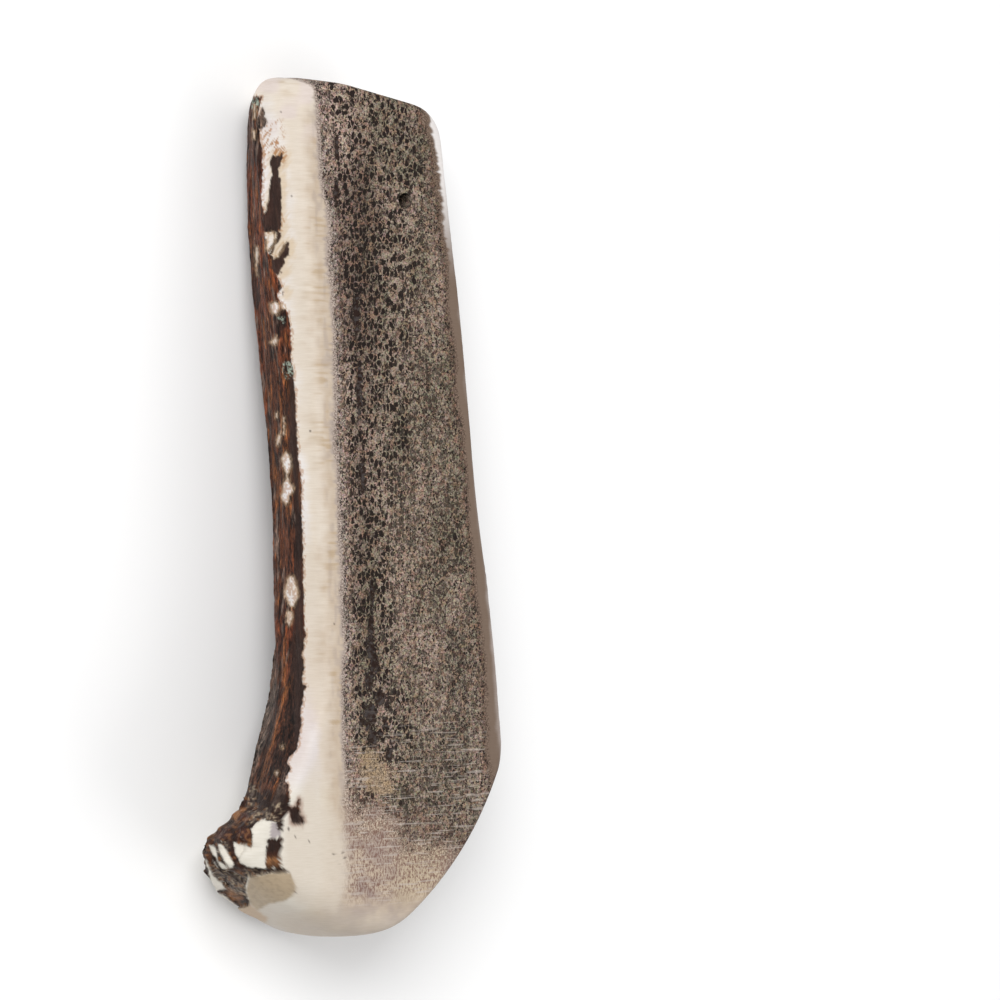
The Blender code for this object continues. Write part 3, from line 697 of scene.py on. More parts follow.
def grid_points():
    """Points on the solid, ring by ring from the base to the top, and a point for each end."""
    columns = np.arange(CUT_COLUMNS + BACK_COLUMNS)
    low = rim_leans(FIRST_START, lower_end, radians(60), radians(-80), columns)
    high = np.tan(rim_leans(LAST_START, top_end, radians(-30), radians(80), columns))
    share = np.linspace(0, 1, LOW_RINGS, endpoint=False) ** LOW_RING_CROWDING
    rings = [(FIRST_START + (LEVEL_START - FIRST_START) * s, low * (1 - s)) for s in share]
    level = np.zeros(len(columns))
    rings += [(start, level) for start in np.linspace(LEVEL_START, LAST_START, LEVEL_RINGS)]
    rings += [(LAST_START, np.arctan(high * s)) for s in np.linspace(0, 1, TOP_SIDE_RINGS + 1)[1:]]
    starts = np.concatenate([np.full(len(columns), start) for start, _ in rings])
    leans = np.concatenate([lean for _, lean in rings])
    origins = axis_points(starts)
    directions = ray_directions(origins, leans, np.tile(columns, len(rings)))
    rows = list(cast(solid, origins, directions).reshape(len(rings), len(columns), 3))
    tips = []
    for start, rim, way, count in (
        (FIRST_START, rows[0], -1.0, LOW_END_RINGS),
        (LAST_START, rows[-1], 1.0, TOP_END_RINGS),
    ):
        origin = axis_points(np.array([start]))
        tip = cast(solid, origin, np.array([[0.0, way, 0.0]]))
        tips.append(tip[0])
        ends = []
        for s in np.linspace(1, 0, count, endpoint=False)[1:]:
            aim = tip + (rim - tip) * s - origin
            aim /= np.linalg.norm(aim, axis=1)[:, None]
            ends.append(cast(solid, np.repeat(origin, len(columns), axis=0), aim))
        rows = ends[::-1] + rows if way < 0 else rows + ends
    return np.array(rows), np.array(tips)


def back_share(columns):
    """Share of the way round the back of each column, with more of them on the left."""
    step = columns - CUT_COLUMNS
    near = NEAR_BACK_SHARE * step / NEAR_BACK_COLUMNS
    far = NEAR_BACK_SHARE + (1 - NEAR_BACK_SHARE) * (step - NEAR_BACK_COLUMNS) / FAR_BACK_COLUMNS
    return np.clip(np.where(step < NEAR_BACK_COLUMNS, near, far), 0, 1)


def linear(colour):
    """A colour given as 0 to 255 on a screen, as the share of light sent back."""
    c = np.array(colour) / 255
    return PAPER_WHITE * np.where(c <= 0.04045, c / 12.92, ((c + 0.055) / 1.055) ** 2.4)


def blend(a, b, share):
    """Mixes two numbers for each point, or two colours."""
    if np.shape(a)[-1:] == (3,):
        share = np.asarray(share)[..., None]
    return a + (b - a) * share


def in_picture(p):
    """Where points show in the picture, in mm across and along it at the sawn face."""
    x, y, z = (p / MM).T
    middle_across, middle_along, away = VIEW_ACROSS / MM, VIEW_ALONG / MM, VIEW_DISTANCE / MM
    nearer = -x * sin(VIEW_TURN) + z * cos(VIEW_TURN)
    larger = away / (away - nearer)
    across = middle_across + (x * cos(VIEW_TURN) + z * sin(VIEW_TURN) - middle_across) * larger
    return across, middle_along + (y - middle_along) * larger


def depth_inside(outline, across, along):
    """How deep each point lies inside a closed outline, in mm, and negative outside it."""
    corners = np.array(outline)
    found = np.full(len(across), -9.0)
    low, high = corners.min(axis=0) - 1.5, corners.max(axis=0) + 1.5
    near = (across > low[0]) & (across < high[0]) & (along > low[1]) & (along < high[1])
    x, y = across[near], along[near]
    distance = np.full(len(x), 9.0)
    odd = np.zeros(len(x), bool)
    for (x0, y0), (x1, y1) in zip(corners, np.roll(corners, -1, axis=0)):
        dx, dy = x1 - x0, y1 - y0
        share = np.clip(((x - x0) * dx + (y - y0) * dy) / (dx * dx + dy * dy), 0, 1)
        distance = np.minimum(distance, np.hypot(x - x0 - share * dx, y - y0 - share * dy))
        if dy:
            odd ^= ((y0 > y) != (y1 > y)) & (x < x0 + (y - y0) * dx / dy)
    found[near] = np.where(odd, distance, -distance)
    return found


def within(outlines, across, along, ragged=0.0, soft=0.12):
    """How much each point lies in any of the outlines, from 0 to 1."""
    found = np.full(len(across), -9.0)
    for outline in outlines:
        found = np.maximum(found, depth_inside(outline, across, along))
    return smooth_step(-soft, soft, found + ragged)


def spots(places, across, along, seed):
    """How much each point lies in one of the ragged spots."""
    found = np.zeros(len(across))
    ragged = 1 + 0.35 * noise(across / 0.9, along / 1.4, seed) + 0.2 * noise(across / 0.4, along / 0.5, seed + 1)
    for x, y, half_width, half_length, lean in places:
        dy = along - y
        dx = across - x + lean * dy
        reach = np.sqrt((dx / half_width) ** 2 + (dy / half_length) ** 2) * ragged
        found = np.maximum(found, smooth_step(1.15, 0.85, reach))
    return found


def inside_compact(p, distance, angle):
    """How deep each point lies in the marrow, past the compact bone, in mm."""
    y = p[:, 1]
    middle, below = along_beam(y, 1), along_beam(y, 2)
    walls = []
    turns = []
    for side in (1, 2):
        reach = np.interp(y / MM, MARROW_SIDES[:, 0], MARROW_SIDES[:, side]) * MM - middle
        turn = np.arctan2(below, reach)
        walls.append(along_beam(y, 3) - np.hypot(reach, below))
        turns.append(np.cos(turn))
    share = (np.cos(angle) - turns[0]) / (turns[1] - turns[0])
    compact = blend(walls[0], walls[1], np.clip(share, 0, 1))
    return (beam_radius(angle, y) - compact - distance) / MM


def look(p, normals):
    """Colour, masks and depth of the fine relief for points on the solid, in the antler's own frame."""
    x, y, z = (p / MM).T
    across, along = in_picture(p)
    distance, angle = polar(p)
    ring, flare = burr(angle, p[:, 1], -p[:, 2])
    smooth = distance - beam_radius(angle, p[:, 1]) - ring - flare
    relief = bark_relief(angle, p[:, 1], -p[:, 2])
    grown = natural(p) / MM
    around = angle * along_beam(p[:, 1], 3) / MM
    facing = -normals[:, 0] * sin(VIEW_TURN) + normals[:, 2] * cos(VIEW_TURN)
    seen = smooth_step(-0.12, 0.05, facing)
    on_left = seen * smooth_step(-7, -9, x)

    # Bark: as drawn on the side in view, elsewhere where the antler's own surface is left
    near = 0.25 + 0.75 * on_left
    fray = (0.45 * noise(around / 1.2, y / 3.5, 41) + 0.3 * noise(around / 0.5, y / 1.1, 42)) * near
    slant = noise((across - 0.8 * along) / 0.5, (across + along) / 2.6, 43)
    ragged = 0.16 * slant + 0.12 * noise(across / 0.35, along / 0.6, 44)
    own = smooth_step(-0.55, -0.25, grown + 0.4 * fray)
    worn = smooth_step(-0.2, 0.2, (relief - WEAR_HEIGHT) / MM + 0.3 * fray)
    own = own * (1 - worn * smooth_step(34, 30, y))
    left = within(LEFT_BARK, across, along, 0.8 * ragged)
    cream = within(CREAM_PATCHES, across, along, 0.6 * ragged)
    islands = within(DARK_ISLANDS, across, along, ragged)
    stripes = within(SANDED_STRIPES, across, along, 0.5 * ragged, 0.18)
    drawn = np.clip(np.maximum(left * (1 - cream), islands) * (1 - stripes), 0, 1)
    drawn = drawn * (1 - within(OLIVE_PATCH, across, along, 0.8 * ragged))
    drawn = drawn * (1 - within(TAN_EDGE, across, along, 0.5 * ragged))
    bark = blend(own, drawn, on_left)

    # Marrow: inside the compact bone, fading out towards the base
    wander = 0.6 * noise(x / 3, y / 9, 61) + 0.35 * noise(x / 1.1, y / 2.2, 62)
    inside = inside_compact(p, distance, angle) + wander
    low_end = y + 3.5 * noise(x / 6, y / 5, 63) + 1.6 * noise(x / 2, y / 1.5, 60) + 0.45 * (x + 3.3)
    low_end = low_end - 2.0 * smooth_step(4, -4, x)
    fade = smooth_step(20, 36, low_end)
    marrow = smooth_step(-0.9, 1.9, inside) * np.clip(fade + 0.2 * smooth_step(12, 26, low_end), 0, 1)
    broad = 0.5 * noise(x / 5, y / 12, 67) + 0.3 * noise(x / 2, y / 5, 69)
    left_part = np.exp(-(((inside - 7) / 6.5) ** 2)) * smooth_step(6, -4, x - 0.04 * y)
    coarse = smooth_step(1.0, 4.0, inside) * np.clip(0.3 + 0.75 * left_part + 0.5 * broad, 0, 1)
    net = np.exp(-(((x - 5) / 5) ** 2) - ((y - 45) / 11) ** 2)
    coarse = np.clip(np.maximum(coarse, net), 0, 1)

    # Colours of the compact bone
    bone = blend(linear(CREAM), linear(HALO), 0.2 * smooth_step(0.0, 0.9, noise(across / 2.5, along / 14, 57)))
    bone = blend(bone, linear(FLAT), smooth_step(36, 30, y) * smooth_step(-8, -12, x))
    bone = blend(bone, linear(ROSE), smooth_step(80, 50, y) * smooth_step(30, 40, y) * np.clip(0.75 + 0.4 * noise(across / 3, along / 6, 53), 0, 1))
    mottle = 0.5 + 0.5 * noise(x / 1.2, y / 1.6, 64) + 0.35 * noise(x / 0.6, y / 2.4, 65)
    ticks = noise(x / 2.5, y / 0.45, 66)
    band = smooth_step(-5.0, -1.6, inside + 0.5 * noise(x / 2, y / 1.6, 56) + 0.5 * ticks) * smooth_step(12, 2, x)
    band = band * smooth_step(181, 172, y)
    yellow = smooth_step(-6.4, -4.6, inside + 0.3 * ticks) * smooth_step(12, 2, x)
    bone = blend(bone, linear(CREAM_YELLOW), 0.7 * yellow)
    bone = blend(bone, linear(WARM), band * np.clip(0.65 + 0.35 * mottle, 0, 1))
    flecks = smooth_step(0.1, 0.6, noise(x / 0.7, y / 2.2, 51))
    bone = blend(bone, linear(EDGE_OF_MARROW), 0.5 * band * flecks * smooth_step(-4.0, -1.5, inside))
    sawn = smooth_step(0.1, 0.6, noise(x / 3.2, y / 0.55, 54)) * smooth_step(-0.2, 0.5, noise(x / 4, y / 7, 55))
    bone = blend(bone, linear(OCHRE), 0.5 * sawn * smooth_step(-4.6, -2.6, inside) * smooth_step(12, 2, x))
    # Painted shade: the right rim, turned from the light and under the tag, is darkened to a shaded tan, partly the
    # bone's own tan
    rim = smooth_step(2, 10, x) * smooth_step(165, 140, y)
    bone = blend(bone, linear(SHADED_RIM_TAN), rim * (1 - 0.45 * smooth_step(-1.6, -3.2, inside)))
    halo = within(DARK_ISLANDS[:6], across - 0.5, along, 0.9 + 0.7 * slant, 0.9) * on_left
    bone = blend(bone, linear(HALO), 0.75 * halo)
    blush = smooth_step(168, 176, y) * smooth_step(0.0, 0.6, noise(across / 4, along / 3, 58)) * smooth_step(0, -8, x)
    bone = blend(bone, linear(BLUSH), 0.8 * blush)
    brink = within(LEFT_BARK, across, along, 0.5 + 1.6 * ragged) * on_left * (noise(across / 0.3, along / 0.4, 59) > -0.1)
    bone = blend(bone, linear(SCRATCH_BROWN), 0.55 * brink)
    inner = within(CREAM_PATCHES, across, along, 0.3 * ragged - 0.3, 0.15)
    bone = blend(bone, linear(TAN), 0.7 * cream * (1 - inner) * on_left)
    scratched = within((((-26, 174), (-22, 176), (-20.5, 168), (-22, 165.5), (-25.5, 168)),), across, along, 0.3, 0.8)
    fine_slant = noise((across - 0.8 * along) / 0.28, (across + along) / 1.3, 45)
    fewer = 0.05 * np.clip(along - 168, -4, 10)
    scratched = scratched * smooth_step(fewer, fewer + 0.4, fine_slant) * on_left
    bone = blend(bone, linear(SCRATCH_BROWN), 0.9 * scratched)

    # The low end, where the marrow gives way to solid bone
    low = smooth_step(-1.5, 2.5, inside) * (1 - fade)
    patchy = np.clip(0.5 + 0.55 * noise(x / 3, y / 2, 68) + 0.35 * noise(x / 1.1, y / 0.9, 70), 0, 1)
    bone = blend(bone, blend(linear(MAUVE), linear(WARM), patchy), low)
    bone = blend(bone, linear(YELLOW_CREAM), 0.7 * low * within(YELLOW_BELOW, across, along, 0.8 * slant, 2.5))
    clean = within(CREAM_BELOW, across, along, 0.6 * wander, 1.6) * smooth_step(-0.1, 0.2, facing)
    bone = blend(bone, linear(CREAM_LOW), 0.8 * clean)
    # Greyer towards the base: partly the grey sanded bone, partly painted shade on the base, which faces down
    shaded_lowest = smooth_step(9, 2, y + 0.12 * x) * (1 - 0.4 * clean)
    bone = blend(bone, linear(BASE_GREY_AND_SHADE), 0.75 * shaded_lowest)

    # Colours of the marrow's walls, and its dark streaks, partly a painted shadow of the tag
    olive = np.clip(smooth_step(-12, -2, x) * (0.75 + 0.5 * broad) + 0.3 * broad, 0, 1)
    walls = blend(linear(WALLS_PINK), linear(WALLS_OLIVE), olive)
    pale = smooth_step(4, 14, x) * smooth_step(85, 60, y) * np.clip(0.35 + broad, 0, 1)
    walls = blend(walls, linear(WALLS_PALE), pale)
    # Partly painted shadow: a dark band where the tag's left edge cast its shade, with darker patches of the marrow's
    # own
    dark_and_tag_shadow = np.exp(-(((across + 4.5 + 1.2 * noise(y / 9, y / 30, 72)) / 2.2) ** 2)) * smooth_step(60, 75, y)
    dark_and_tag_shadow = np.maximum(dark_and_tag_shadow * smooth_step(182, 165, y), smooth_step(0.25, 0.9, broad))
    walls = blend(walls, linear(DARK_STREAK_AND_TAG_SHADOW), 0.45 * dark_and_tag_shadow)
    # Partly painted shadow of the tag, over a zone of darker marrow higher up
    tag_shadow_and_dark_zone = smooth_step(118, 130, y) * smooth_step(170, 160, y) * smooth_step(3, -5, across + 1.5 * broad)
    walls = blend(walls, linear(DARK_STREAK_AND_TAG_SHADOW), 0.55 * tag_shadow_and_dark_zone)
    verge = smooth_step(-1.0, -0.2, inside + 0.5 * ticks)
    thread = noise(x / 0.4, y / 3, 52)
    # towards the right the marrow's edge takes the same painted shade
    edge = blend(linear(EDGE_OF_MARROW), linear(SHADED_RIM_TAN), smooth_step(0, 10, x))
    walls = blend(edge, walls, smooth_step(0.5, 2.4, inside + 0.8 * thread))
    bone = blend(bone, walls, verge * fade)
    on_cut = smooth_step(-1.0, -0.3, z) * (facing > 0.2)
    hollow = np.zeros(len(x))
    for middle, at, half_width, half_length in HOLLOWS:
        reach = ((across - middle) / half_width) ** 2 + ((along - at) / half_length) ** 2
        hollow = np.maximum(hollow, np.exp(-0.8 * reach))
    hollow = hollow * on_cut
    ochre = within(OCHRE_PATCH, across, along, 0.9 * noise(x / 0.9, y / 1.3, 74), 1.4) * on_cut
    bone = blend(bone, linear(OCHRE), 0.75 * ochre * np.clip(0.7 + 0.4 * noise(x / 0.7, y / 1.1, 76), 0, 1))
    marrow = marrow * (1 - 0.6 * ochre)

    # Marks on the bone beside and below the burr
    stipple = 1 - 0.14 * smooth_step(0.1, 0.6, noise(across / 0.45, along / 0.45, 92))[:, None]
    bone = blend(bone, linear(OLIVE) * stipple, within(OLIVE_PATCH, across, along, 0.8 * ragged, 0.25) * on_left)
    stained = within(DARK_ISLANDS[8:10], across, along, 0.5 + 2 * ragged, 0.5) * on_left
    bone = blend(bone, linear(STAIN), 0.6 * stained)
    bone = blend(bone, linear(TAN), 0.8 * within(TAN_EDGE, across, along, ragged, 0.4) * on_left)
    bone = blend(bone, linear(LILAC_GREY), within(LILAC, across, along, ragged, 0.2) * on_left)
    for spot_across, spot_along, size in SPECKS:
        speck = smooth_step(size, 0.5 * size, np.hypot(across - spot_across, along - spot_along)) * on_left
        bone = blend(bone, linear(BLACK), 0.75 * speck)

    # Colours of the bark
    fibre = noise(around / 0.8, y / 9, 81) * 0.6 + noise(around / 0.35, y / 4, 82) * 0.4
    tone = noise(around / 4, y / 16, 83)
    upper = smooth_step(48, 66, y) * smooth_step(174, 160, y)
    skin = blend(linear(BARK), linear(BARK_RED), upper * near * smooth_step(-0.5, 0.3, tone))
    skin = blend(skin, linear(BARK_DARK), 0.85 * near * smooth_step(0.0, 0.5, noise(around / 1.5, y / 6, 87)))
    skin = blend(skin, linear(BARK_AMBER_AND_HIGHLIGHT), 0.7 * near * smooth_step(0.3, 0.65, noise(around / 0.9, y / 4, 88)))
    skin = blend(skin, linear(BARK_GREY), 0.8 * near * smooth_step(0.4, 0.7, noise(around / 0.8, y / 6, 84)))
    skin = blend(skin, linear(BARK_DARK), 0.5 * (1 - near) * smooth_step(-0.4, 0.5, noise(around / 4, y / 9, 90)))
    at_burr = smooth_step(34, 30, y) * smooth_step(3, 6, y)
    skin = blend(skin, linear(BARK_DARK), 0.6 * at_burr)
    bend = np.interp(along, RIDGE[:, 0], RIDGE[:, 1])
    by_ridge = smooth_step(32, 36, along) * smooth_step(67, 63, along)
    skin = blend(skin, linear(ASH), 0.55 * by_ridge * smooth_step(-1.2, -2.2, across - bend))
    skin = blend(skin, linear(BLACK), 0.8 * by_ridge * smooth_step(0.6, 1.4, across - bend))
    sheet = within((((-20.3, 123), (-18.5, 123), (-17.5, 96), (-16.8, 60), (-17.2, 42), (-19.0, 42), (-18.9, 62),
                     (-18.7, 92), (-20.2, 104)),), across, along, 0.5 * tone, 0.6)
    skin = blend(skin, linear(ISLAND), 0.9 * sheet * on_left)
    islet = within(DARK_ISLANDS[:7], across, along, ragged) * on_left
    skin = blend(skin, linear(ISLAND), 0.9 * islet)
    skin = blend(skin, linear(LEAF), 0.8 * within(DARK_ISLANDS[7:8], across, along, ragged) * on_left)
    edging = within(CREAM_PATCHES, across, along, 0.35 + ragged, 0.3) * on_left
    skin = blend(skin, linear(TAN), 0.45 * edging)
    # Painted shade, near black, in the deep groove beside the raised line, and along its crest amber that is partly a
    # painted highlight
    highlit_crest = np.exp(-(((across - bend) / 0.36) ** 2)) * by_ridge * on_left
    shaded_groove = np.exp(-(((across - bend + 1.0) / 0.4) ** 2)) * by_ridge * on_left
    skin = blend(skin, linear(BLACK), 0.8 * shaded_groove)
    skin = blend(skin, linear(BARK_AMBER_AND_HIGHLIGHT), 0.9 * highlit_crest)
    # golden patches on the burr, partly painted highlights on its knobs
    skin = blend(skin, linear(GOLD_AND_HIGHLIGHT), 0.85 * within(GOLD_AND_HIGHLIGHTS, across, along, 1.2 * ragged, 0.4) * on_left)
    # brown knobs of the burr, one of them the painted shaded side of the top knob
    skin = blend(skin, linear(BROWN_LOBE_AND_SHADE), 0.7 * within(BROWN_LOBES_AND_SHADE, across, along, ragged, 0.4) * on_left)
    skin = blend(skin, linear(ASH), 0.85 * within(GREY_PATCHES, across, along, 1.5 * ragged, 0.4) * on_left)
    grit = noise(across / 0.3, along / 0.3, 86)
    rough_part = np.maximum(
        within(GRANULAR, across, along, 1.5 * ragged, 0.4), within(GREY_PATCHES, across, along, 0.3, 0.5)
    )
    skin = blend(skin, linear(OLIVE), rough_part * smooth_step(0.2, 0.7, grit) * on_left)
    skin = blend(skin, linear(BLACK), rough_part * smooth_step(-0.1, -0.6, grit) * on_left)
    skin = blend(skin, linear(BLACK), 0.8 * within(BLACK_PATCHES, across, along, 1.5 * ragged, 0.3) * on_left)
    beads = noise(across / 0.7, along / 0.55, 91)
    skin = blend(skin, linear(BARK_DARK), 0.6 * at_burr * on_left * smooth_step(0.1, 0.5, beads))
    skin = blend(skin, linear(GOLD_AND_HIGHLIGHT), 0.4 * at_burr * on_left * smooth_step(-24, -26, across) * smooth_step(-0.3, -0.6, beads))
    lichen = spots(LICHENS, across, along, 75) * on_left
    skin = blend(skin, linear(LICHEN), 0.85 * lichen * smooth_step(-0.3, 0.2, grit))
    colour = blend(bone, skin, bark)

    # Relief, cut in from the solid's surface
    grooves = 0.5 - 0.5 * np.clip(fibre * 1.3, -1, 1)
    cut = 0.05 + bark * (0.3 * grooves + 0.1 * (0.5 + 0.5 * noise(around / 0.5, y / 0.9, 85)))
    cut += bark * (0.35 * shaded_groove + 0.25 * smooth_step(0.4, 1.6, np.abs(across - bend)) * by_ridge * on_left)
    cut += bark * at_burr * (0.45 + 0.3 * rough_part * (0.5 - 0.5 * grit))
    cut += 0.4 * smooth_step(0.4, 0.8, hollow)
    masks = {
        "bark": bark,
        "marrow": marrow * (1 - bark),
        "coarse": coarse * (1 - bark),
        "fibrous": bark * (1 - 0.85 * at_burr) * (1 - 0.7 * np.maximum(islet, sheet * on_left)),
        "hollow": hollow,
        "pitted": low * (1 - 0.8 * clean) * smooth_step(6, 11, y) * (1 - bark),
    }
    return colour, masks, cut * MM


def surface_normals(grid, tips):
    """Outward normals of the grid's points."""
    along = np.empty_like(grid)
    along[1:-1] = grid[2:] - grid[:-2]
    along[0] = grid[1] - tips[0]
    along[-1] = tips[1] - grid[-2]
    around = np.roll(grid, -1, axis=1) - np.roll(grid, 1, axis=1)
    normals = np.cross(along, around)
    normals /= np.linalg.norm(normals, axis=2)[:, :, None] + 1e-12
    return normals


def to_world(p):
    """From the antler's own frame to where it lies."""
    c, s = cos(REST_PITCH), sin(REST_PITCH)
    x = p[:, 0] - ORIGIN_X
    y = p[:, 1] * c + p[:, 2] * s - ORIGIN_Y
    z = -p[:, 1] * s + p[:, 2] * c + REST_HEIGHT * c
    return np.stack([x, y, z], axis=1)


def to_own(p):
    """From where the antler lies to its own frame."""
    c, s = cos(REST_PITCH), sin(REST_PITCH)
    x = p[:, 0] + ORIGIN_X
    y = p[:, 1] + ORIGIN_Y
    z = p[:, 2] - REST_HEIGHT * c
    return np.stack([x, y * c - z * s, y * s + z * c], axis=1)


def lumpy(grid):
    """Moves the left edge of the burr in or out, and the bark above it out, in the plane of the picture."""
    points = grid.reshape(-1, 3)
    across, along = in_picture(points)
    shift = np.zeros(len(points))
    for middle, amount, half_length in BURR_LUMPS:
        shift += amount * np.exp(-(((along - middle) / half_length) ** 2))
    low = to_world(points)[:, 2] / MM
    shift = shift * smooth_step(-22, -30, across)
    shift -= BARK_STANDS_OUT * smooth_step(48, 62, along) * smooth_step(184, 176, along) * smooth_step(-19, -25, across)
    shift = shift * smooth_step(1, 6, low) * MM
    way = np.array([cos(VIEW_TURN), 0, sin(VIEW_TURN)])
    return (points + shift[:, None] * way).reshape(grid.shape)


def closed_mesh():
    """The whole antler as one mesh, drilled, in the place where it lies."""
    grid, tips = grid_points()
    grid = lumpy(grid)
    normals = surface_normals(grid, tips)
    rows, columns = grid.shape[:2]
    points = grid.reshape(-1, 3)
    cut = look(points, normals.reshape(-1, 3))[2]
    points = np.concatenate([points - normals.reshape(-1, 3) * cut[:, None], tips])
    placed = to_world(points)
    placed[:, 0] = np.maximum(placed[:, 0], LEFTMOST)
    r, c = np.meshgrid(np.arange(rows - 1), np.arange(columns), indexing="ij")
    d = (c + 1) % columns
    quads = np.stack([r * columns + c, (r + 1) * columns + c, (r + 1) * columns + d, r * columns + d], axis=2)
    c = np.arange(columns)
    d = (c + 1) % columns
    top = (rows - 1) * columns
    first = np.stack([np.full(columns, rows * columns), c, d], axis=1)
    last = np.stack([np.full(columns, rows * columns + 1), top + d, top + c], axis=1)
    mesh = bpy.data.meshes.new("whole")
    faces = quads.reshape(-1, 4).tolist() + first.tolist() + last.tolist()
    mesh.from_pydata(placed, [], faces)
    whole = bpy.data.objects.new("whole", mesh)
    bpy.context.scene.collection.objects.link(whole)
    bpy.ops.mesh.primitive_cylinder_add(vertices=64, radius=HOLE_RADIUS, depth=0.12)
    bit = bpy.context.object
    centre = to_world(np.array([[HOLE_X, HOLE_Y, 0.0]]))[0]
    bit.location = centre
    bit.rotation_euler.x = -REST_PITCH
    drill = whole.modifiers.new("cord_hole", "BOOLEAN")
    drill.operation = "DIFFERENCE"
    drill.object = bit
    evaluated = whole.evaluated_get(bpy.context.evaluated_depsgraph_get())
    drilled = bpy.data.meshes.new_from_object(evaluated)
    for obj in (whole, bit):
        bpy.data.objects.remove(obj)
    return drilled


def pieces_of(mesh, material):
    """Cuts the mesh into four pieces, with the shading of the whole kept across their joins."""
    count = len(mesh.vertices)
    co = np.empty(count * 3)
    mesh.vertices.foreach_get("co", co)
    co = co.reshape(-1, 3)
    starts = np.empty(len(mesh.polygons), np.int64)
    sizes = np.empty(len(mesh.polygons), np.int64)
    centres = np.empty(len(mesh.polygons) * 3)
    mesh.polygons.foreach_get("loop_start", starts)
    mesh.polygons.foreach_get("loop_total", sizes)
    mesh.polygons.foreach_get("center", centres)
    corners = np.empty(len(mesh.loops), np.int64)
    mesh.loops.foreach_get("vertex_index", corners)
    normals = np.empty(count * 3)
    mesh.vertices.foreach_get("normal", normals)
    normals = normals.reshape(-1, 3)
    centres = to_own(centres.reshape(-1, 3))
    own = to_own(co)
    own_normals = to_own(co + normals) - own
    from_hole = np.hypot(centres[:, 0] - HOLE_X, centres[:, 1] - HOLE_Y)
    bore = (from_hole < HOLE_RADIUS + 0.01 * MM) & (centres[:, 2] < -0.05 * MM)
    colour, masks, _ = look(own, own_normals)
    on_cut = (centres[:, 2] > -0.6 * MM) & ~bore
    on_left = ~on_cut & (centres[:, 0] < along_beam(centres[:, 1], 1) - 4 * MM)
    made = []
    upper = centres[:, 1] > BARK_PARTED_AT
    for name, chosen in (
        ("antler_marrow", on_cut),
        ("antler_upper_bark", on_left & upper),
        ("antler_lower_bark", on_left & ~upper),
        ("antler_back", ~on_cut & ~on_left),
    ):
        picked = np.nonzero(chosen)[0]
        loops = np.concatenate([np.arange(starts[f], starts[f] + sizes[f]) for f in picked])
        used, index = np.unique(corners[loops], return_inverse=True)
        piece = bpy.data.meshes.new(name)
        piece.vertices.add(len(used))
        piece.loops.add(len(loops))
        piece.polygons.add(len(picked))
        piece.vertices.foreach_set("co", co[used].astype(np.float32).ravel())
        piece.loops.foreach_set("vertex_index", index.astype(np.int32))
        ends = np.concatenate([[0], np.cumsum(sizes[picked])[:-1]])
        piece.polygons.foreach_set("loop_start", ends.astype(np.int32))
        piece.update(calc_edges=True)
        piece.shade_smooth()
        shading = normals[corners[loops]].copy()
        in_bore = np.repeat(bore[picked], sizes[picked])
        if in_bore.any():
            axis = own[corners[loops[in_bore]]] - np.array([HOLE_X, HOLE_Y, 0.0])
            axis[:, 2] = 0
            inward = -axis / (np.linalg.norm(axis, axis=1)[:, None] + 1e-12)
            shading[in_bore] = to_world(inward) - to_world(inward * 0)
        piece.normals_split_custom_set(shading)
        for label, values in masks.items():
            layer = piece.attributes.new(label, "FLOAT", "POINT")
            layer.data.foreach_set("value", values[used].astype(np.float32))
        layer = piece.attributes.new("tint", "FLOAT_COLOR", "POINT")
        rgba = np.concatenate([colour[used], np.ones((len(used), 1))], axis=1)
        layer.data.foreach_set("color", rgba.astype(np.float32).ravel())
        layer = piece.attributes.new("place", "FLOAT_VECTOR", "POINT")
        layer.data.foreach_set("vector", (own[used] / MM).astype(np.float32).ravel())
        piece.materials.append(material)
        obj = bpy.data.objects.new(name, piece)
        bpy.context.scene.collection.objects.link(obj)
        made.append(obj)
    return made


